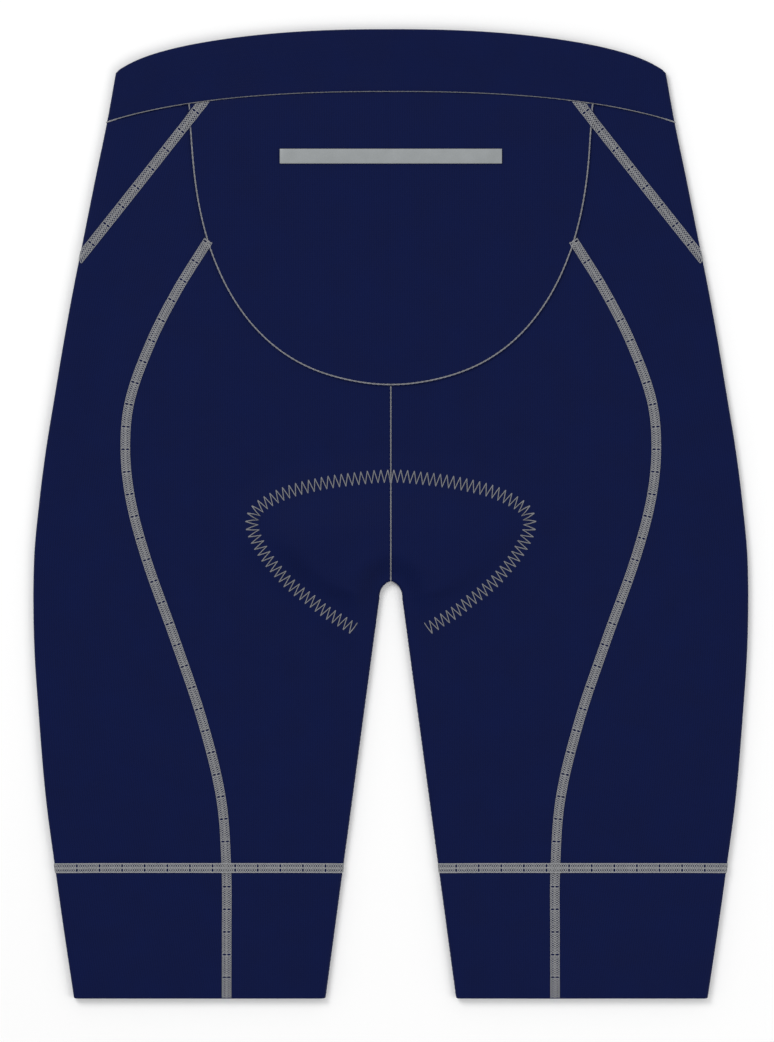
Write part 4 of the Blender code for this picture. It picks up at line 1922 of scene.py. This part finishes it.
@dataclass
class PadStitching:
    """Zigzag that holds the pad, along its outline on both layers."""

    sewing: Sewing
    finish: Material
    pitch: float = 3.6  # millimetres, as are the sizes below
    width: float = 7.0
    thread: float = 0.46
    above: float = 0.20
    front_narrowing: float = 0.8  # the pad narrows towards the front
    bow: tuple[tuple[float, float], ...] = ((0.0, -0.25), (0.06, 0.7), (0.5, 1.0), (0.94, 0.7), (1.0, -0.25))
    places: int = 200

    def tooth(self) -> Stitch:
        """One tooth: a stitch across and a stitch back, their ends drawn into the cloth.

        Returns:
            The stitch.
        """
        half, wide = self.pitch / 2, self.width / 2
        strands = []
        for start, side in ((-half, -wide), (0.0, wide)):
            points = []
            for share, high in self.bow:
                points.append((start + half * share, mix(side, -side, share), self.above * high))
            strands.append(Strand(tuple(points)))
        return Stitch.of(strands, self.pitch * MM, self.thread * MM)

    def build(self) -> None:
        """Sews the outline on the back and on the front."""
        form = self.sewing.form
        tooth = [self.tooth()]
        angle = np.radians(np.linspace(PAD_OUTLINE[0].angle, 90, self.places))
        radius = form.pad_reach(np.degrees(angle))
        for face in Face:
            narrow = 1.0 if face is Face.BACK else self.front_narrowing
            height = form.pad_middle + radius * np.sin(angle)
            plan = np.column_stack([narrow * radius * np.cos(angle), height])
            runs = [(Route(face, hand, plan), tooth, even_lift(0.0)) for hand in Hand]
            self.sewing.sew(f"pad_stitching_{face.value}", runs, self.finish)


# ---- Finishes ----
def linear(colour: str) -> tuple[float, float, float, float]:
    """Turns an sRGB hex colour to linear values.

    Args:
        colour: the colour, as #rrggbb.

    Returns:
        Red, green, blue and alpha.
    """
    parts = [int(colour[k : k + 2], 16) / 255 for k in (1, 3, 5)]
    values = [part / 12.92 if part <= 0.04045 else ((part + 0.055) / 1.055) ** 2.4 for part in parts]
    return (values[0], values[1], values[2], 1.0)


def add_node(
    tree: NodeTree,
    kind: str,
    inputs: Sequence[Any] | dict[Any, Any] = (),
    output: int | str = 0,
    **settings: Any,
) -> NodeSocket | None:
    """Adds a node with its settings and links.

    Args:
        tree: the material's tree.
        kind: type of the node, without the first word that all types share.
        inputs: value of each input, or the socket that is linked to it, in order or by name or number.
        output: name or number of the output that is handed back.
        settings: the node's own properties.

    Returns:
        The output, or None where the node has none.
    """
    node = tree.nodes.new("ShaderNode" + kind)
    for key, value in settings.items():
        setattr(node, key, value)
    for key, value in inputs.items() if isinstance(inputs, dict) else enumerate(inputs):
        if isinstance(value, NodeSocket):
            tree.links.new(value, node.inputs[key])
        else:
            node.inputs[key].default_value = value
    return node.outputs[output] if node.outputs else None


@dataclass(frozen=True)
class Finish:
    """What a surface is made of and how it was made."""

    name: str

    def wire(self, tree: NodeTree) -> dict[str, Any]:
        """Adds the nodes of the pattern.

        Args:
            tree: the material's tree.

        Returns:
            The shader's values and the sockets that are linked to it, by the name of its input.
        """
        raise NotImplementedError

    def build(self) -> Material:
        """Makes the material.

        Returns:
            The material.
        """
        made = bpy.data.materials.new(self.name)
        made.use_nodes = True
        tree = made.node_tree
        tree.nodes.clear()
        shader = add_node(tree, "BsdfPrincipled", self.wire(tree))
        add_node(tree, "OutputMaterial", {"Surface": shader})
        return made


@dataclass(frozen=True)
class KnitFinish(Finish):
    """Warp-knitted nylon and elastane: upright wales of small loops, matt with a faint bloom of light."""

    colour: str = "#091542"
    # The darker colour is the dark end of the uneven dye and also of the painted shade in the knit's hollows.
    valley: str = "#070f34"
    wale: float = 1.3 * MM  # really about 0.4 mm, which is too fine to show
    course: float = 1.1 * MM
    loop_relief: float = 0.10 * MM
    loop_slant: float = 1.2
    ridge_share: float = 0.6  # of the relief
    loop_share: float = 0.22
    fuzz_share: float = 0.25
    mottle: float = 18.18 * MM  # width of a patch of uneven dye
    fuzz: float = 1.111 * MM
    mottle_tone: float = 0.6  # how far the colour follows the mottle of uneven dye, and how far it follows the relief as painted shade in the knit's hollows
    relief_tone: float = 0.7
    roughness: float = 0.62
    roughness_swing: float = 0.08
    sheen: float = 0.05
    bloom: str = "#aab2c8"

    def wire(self, tree: NodeTree) -> dict[str, Any]:
        """Lays out the wales and loops on the flat cloth, and paints shade into the hollows between them.

        Args:
            tree: the material's tree.

        Returns:
            The shader's values and sockets.
        """
        flat = add_node(tree, "SeparateXYZ", [add_node(tree, "UVMap", uv_map="Cloth")]).node
        wales = add_node(tree, "Math", [flat.outputs[0], self.wale], operation="DIVIDE")
        courses = add_node(tree, "Math", [flat.outputs[1], self.course], operation="DIVIDE")
        in_wale = add_node(tree, "Math", [wales], operation="FRACT")
        to_middle = add_node(tree, "Math", [in_wale, 0.5], operation="SUBTRACT")
        off_middle = add_node(tree, "Math", [to_middle], operation="ABSOLUTE")
        share = add_node(tree, "Math", [off_middle, 2.0], operation="MULTIPLY")
        fall = add_node(tree, "Math", [share, 2.0], operation="POWER")
        ridge = add_node(tree, "Math", [1.0, fall], operation="SUBTRACT")
        slant = add_node(tree, "Math", [off_middle, self.loop_slant], operation="MULTIPLY")
        slanted = add_node(tree, "Math", [courses, slant], operation="ADD")
        turns = add_node(tree, "Math", [slanted, 2 * math.pi], operation="MULTIPLY")
        loops = add_node(tree, "Math", [turns], operation="SINE")
        raised = add_node(tree, "Math", [ridge, self.ridge_share], operation="MULTIPLY")
        relief = add_node(tree, "Math", [loops, self.loop_share, raised], operation="MULTIPLY_ADD")
        place = add_node(tree, "TexCoord", output="Object")
        mottle = add_node(tree, "TexNoise", {"Vector": place, "Scale": 1 / self.mottle, "Detail": 4.0})
        fuzz = add_node(tree, "TexNoise", {"Vector": place, "Scale": 1 / self.fuzz, "Detail": 2.0})
        # Painted shade: the colour goes towards the darker one where the wales and loops are low, mixed with
        # the uneven dye of the mottle.
        painted_valley_shade = add_node(tree, "Math", [relief, self.relief_tone], operation="MULTIPLY")
        tone = add_node(tree, "Math", [mottle, self.mottle_tone, painted_valley_shade], operation="MULTIPLY_ADD")
        colour_mix = {0: tone, 6: linear(self.valley), 7: linear(self.colour)}
        height = add_node(tree, "Math", [fuzz, self.fuzz_share, relief], operation="MULTIPLY_ADD")
        swing = [mottle, 2 * self.roughness_swing, self.roughness - self.roughness_swing]
        bump = {"Strength": 1.0, "Distance": self.loop_relief, "Height": height}
        return {
            "Base Color": add_node(tree, "Mix", colour_mix, 2, data_type="RGBA"),
            "Roughness": add_node(tree, "Math", swing, operation="MULTIPLY_ADD"),
            "Specular IOR Level": 0.06,
            "IOR": 1.5,
            "Sheen Weight": self.sheen,
            "Sheen Roughness": 0.35,
            "Sheen Tint": linear(self.bloom),
            "Normal": add_node(tree, "Bump", bump),
        }


@dataclass(frozen=True)
class ThreadFinish(Finish):
    """Textured polyester sewing thread: two twisted plies with a soft, slightly uneven lustre."""

    colour: str
    shade: str
    twist: float = 0.45 * MM
    unevenness: float = 3.846 * MM
    relief: float = 0.08 * MM
    roughness: float = 0.5

    def wire(self, tree: NodeTree) -> dict[str, Any]:
        """Bands of twist, darker in the grooves between the plies as painted shade, over the thread's own
        uneven tone.

        Args:
            tree: the material's tree.

        Returns:
            The shader's values and sockets.
        """
        place = add_node(tree, "TexCoord", output="Object")
        # A wave texture of scale s repeats every 0.314 / s.
        bands = {"Vector": place, "Scale": 0.314 / self.twist, "Distortion": 3.0}
        bands |= {"Detail": 1.0, "Detail Scale": 3.0}
        plies = add_node(tree, "TexWave", bands, "Fac", bands_direction="DIAGONAL")
        uneven = add_node(tree, "TexNoise", {"Vector": place, "Scale": 1 / self.unevenness, "Detail": 2.0})
        tone = add_node(tree, "Math", [uneven, 0.6], operation="MULTIPLY")
        # Painted shade: the twist bands darken the colour in the grooves between the plies; the uneven tone
        # is the thread's own.
        factor = add_node(tree, "Math", [plies, 0.45, tone], operation="MULTIPLY_ADD")
        colour_mix = {0: factor, 6: linear(self.shade), 7: linear(self.colour)}
        return {
            "Base Color": add_node(tree, "Mix", colour_mix, 2, data_type="RGBA"),
            "Roughness": self.roughness,
            "Specular IOR Level": 0.25,
            "Sheen Weight": 0.1,
            "Normal": add_node(tree, "Bump", {"Strength": 0.6, "Distance": self.relief, "Height": plies}),
        }


@dataclass(frozen=True)
class TapeFinish(Finish):
    """Coated reflective tape: fine glass beads in a grey binder, satin and faintly grained."""

    colour: str = "#94989a"
    shade: str = "#838788"
    bead: float = 0.5 * MM  # really about 0.05 mm, which is too fine to show
    cloud: float = 8.333 * MM
    relief: float = 0.04 * MM
    roughness: float = 0.38
    roughness_swing: float = 0.06

    def wire(self, tree: NodeTree) -> dict[str, Any]:
        """Beads over a faint cloud.

        Args:
            tree: the material's tree.

        Returns:
            The shader's values and sockets.
        """
        place = add_node(tree, "TexCoord", output="Object")
        beads = add_node(tree, "TexVoronoi", {"Vector": place, "Scale": 1 / self.bead}, "Distance")
        cloud = add_node(tree, "TexNoise", {"Vector": place, "Scale": 1 / self.cloud, "Detail": 3.0})
        tone = add_node(tree, "Math", [cloud, 0.8], operation="MULTIPLY")
        factor = add_node(tree, "Math", [beads, 0.4, tone], operation="MULTIPLY_ADD")
        swing = [cloud, 2 * self.roughness_swing, self.roughness - self.roughness_swing]
        colour_mix = {0: factor, 6: linear(self.shade), 7: linear(self.colour)}
        return {
            "Base Color": add_node(tree, "Mix", colour_mix, 2, data_type="RGBA"),
            "Roughness": add_node(tree, "Math", swing, operation="MULTIPLY_ADD"),
            "Specular IOR Level": 0.4,
            "Normal": add_node(tree, "Bump", {"Strength": 0.5, "Distance": self.relief, "Height": beads}),
        }


@dataclass(frozen=True)
class FleeceFinish(Finish):
    """Brushed polyester fleece over foam: short, dense pile that looks soft and has no gloss."""

    colour: str = "#26304f"
    shade: str = "#161d36"
    tuft: float = 0.9 * MM
    relief: float = 0.25 * MM

    def wire(self, tree: NodeTree) -> dict[str, Any]:
        """Tufts of pile.

        Args:
            tree: the material's tree.

        Returns:
            The shader's values and sockets.
        """
        place = add_node(tree, "TexCoord", output="Object")
        pile = add_node(tree, "TexNoise", {"Vector": place, "Scale": 1 / self.tuft, "Detail": 5.0})
        colour_mix = {0: pile, 6: linear(self.shade), 7: linear(self.colour)}
        return {
            "Base Color": add_node(tree, "Mix", colour_mix, 2, data_type="RGBA"),
            "Roughness": 0.95,
            "Specular IOR Level": 0.1,
            "Sheen Weight": 0.3,
            "Sheen Roughness": 0.5,
            "Normal": add_node(tree, "Bump", {"Strength": 1.0, "Distance": self.relief, "Height": pile}),
        }


@dataclass(frozen=True)
class PaperFinish(Finish):
    """Matt white card under the shorts: smooth, with no gloss and hardly any grain."""

    colour: str = "#fafafa"
    grain: float = 1.4286 * MM
    relief: float = 0.1 * MM

    def wire(self, tree: NodeTree) -> dict[str, Any]:
        """A faint grain.

        Args:
            tree: the material's tree.

        Returns:
            The shader's values and sockets.
        """
        place = add_node(tree, "TexCoord", output="Object")
        grain = add_node(tree, "TexNoise", {"Vector": place, "Scale": 1 / self.grain, "Detail": 3.0})
        return {
            "Base Color": linear(self.colour),
            "Roughness": 0.9,
            "Specular IOR Level": 0.1,
            "Normal": add_node(tree, "Bump", {"Strength": 0.15, "Distance": self.relief, "Height": grain}),
        }


# ---- Studio ----
@dataclass(frozen=True)
class SoftBox:
    """A square lamp: its place, width and power."""

    name: str
    place: tuple[float, float, float]
    width: float
    power: float


@dataclass
class Studio:
    """White floor, soft boxes and a long lens straight above the shorts."""

    form: ShortsForm
    floor_finish: Material
    floor_width: float = 6.0
    margin_above: float = 16.5 * MM
    margin_below: float = 24.2 * MM
    lens: float = 200.0  # millimetres, on a 36 mm sensor
    sensor: float = 36.0
    aside: float = -2.1 * MM
    sight: float = 20.0  # metres, as far as the lens sees
    sky: str = "#ffffff"
    sky_strength: float = 0.62
    boxes: tuple[SoftBox, ...] = (
        SoftBox("key_box", (-1.1, 1.3, 1.9), 1.1, 27.0),
        SoftBox("fill_box", (1.4, -0.6, 1.6), 1.2, 11.0),
    )

    def build(self) -> None:
        """Makes the floor, the lights and the camera."""
        bpy.ops.mesh.primitive_plane_add(size=self.floor_width, location=(0, 0, 0))
        floor = bpy.context.object
        floor.name = "floor"
        floor.data.materials.append(self.floor_finish)
        for box in self.boxes:
            light = bpy.data.lights.new(box.name, "AREA")
            light.size = box.width
            light.energy = box.power
            lamp = bpy.data.objects.new(box.name, light)
            lamp.location = box.place
            aim = -lamp.location
            lamp.rotation_mode = "QUATERNION"
            lamp.rotation_quaternion = aim.to_track_quat("-Z", "Y")
            bpy.context.scene.collection.objects.link(lamp)
        world = bpy.data.worlds.new("studio_air")
        world.use_nodes = True
        background = world.node_tree.nodes["Background"]
        background.inputs["Color"].default_value = linear(self.sky)
        background.inputs["Strength"].default_value = self.sky_strength
        scene = bpy.context.scene
        scene.world = world
        scene.view_settings.view_transform = "Standard"
        view_height = self.form.length + self.margin_above + self.margin_below
        camera = bpy.data.cameras.new("camera")
        camera.lens = self.lens
        camera.sensor_width = self.sensor
        camera.clip_end = self.sight
        stand = bpy.data.objects.new("camera", camera)
        away = view_height * self.lens / self.sensor
        stand.location = (self.aside, (self.margin_above - self.margin_below) / 2, away)
        scene.collection.objects.link(stand)
        scene.camera = stand


def main() -> None:
    """Builds the pieces in order, sized from the imported model's bounds, then the studio."""
    logging.basicConfig(level=logging.INFO, format="%(name)s: %(message)s")
    low, high = CAD_BOUNDS
    band_low, band_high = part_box("hem_band_back_right")
    form = ShortsForm(length=high.y - low.y, band_height=band_high.y - band_low.y + HALF_GAP)
    knit = KnitFinish("warp_knit_navy").build()
    band_knit = KnitFinish("elastic_knit_navy", wale=1.0 * MM, course=1.5 * MM, loop_relief=0.14 * MM).build()
    grey = ThreadFinish("polyester_thread_grey", "#a6a7a9", "#8c8d90").build()
    dark_grey = ThreadFinish("polyester_thread_dull_grey", "#8f9092", "#76777a").build()
    navy = ThreadFinish("polyester_thread_navy", "#1a2350", "#10183a").build()
    tape = TapeFinish("reflective_tape_grey").build()
    fleece = FleeceFinish("brushed_fleece_navy").build()

    LegPanels(form, knit).build()
    SidePanels(form, knit).build()
    HipPanels(form, knit).build()
    LegBands(form, knit, ClothWall(edge=0.0)).build()
    waistband = Waistband(form, band_knit, ClothWall(edge=0.0), "waistband_knit")
    waistband.build()
    PatchPocket(form, knit).build()
    PocketWelt(form, tape, ClothWall(0.34 * MM, 0.06 * MM, 1), "grey_trim").build()
    SeatPad(form, fleece).build()
    sewing = Sewing(form)
    Flatlocks(sewing, grey).build()
    PlainSeams(sewing, waistband, grey, navy).build()
    PadStitching(sewing, dark_grey).build()
    Studio(form, PaperFinish("matt_card_white").build()).build()


if __name__ == "__main__":
    main()
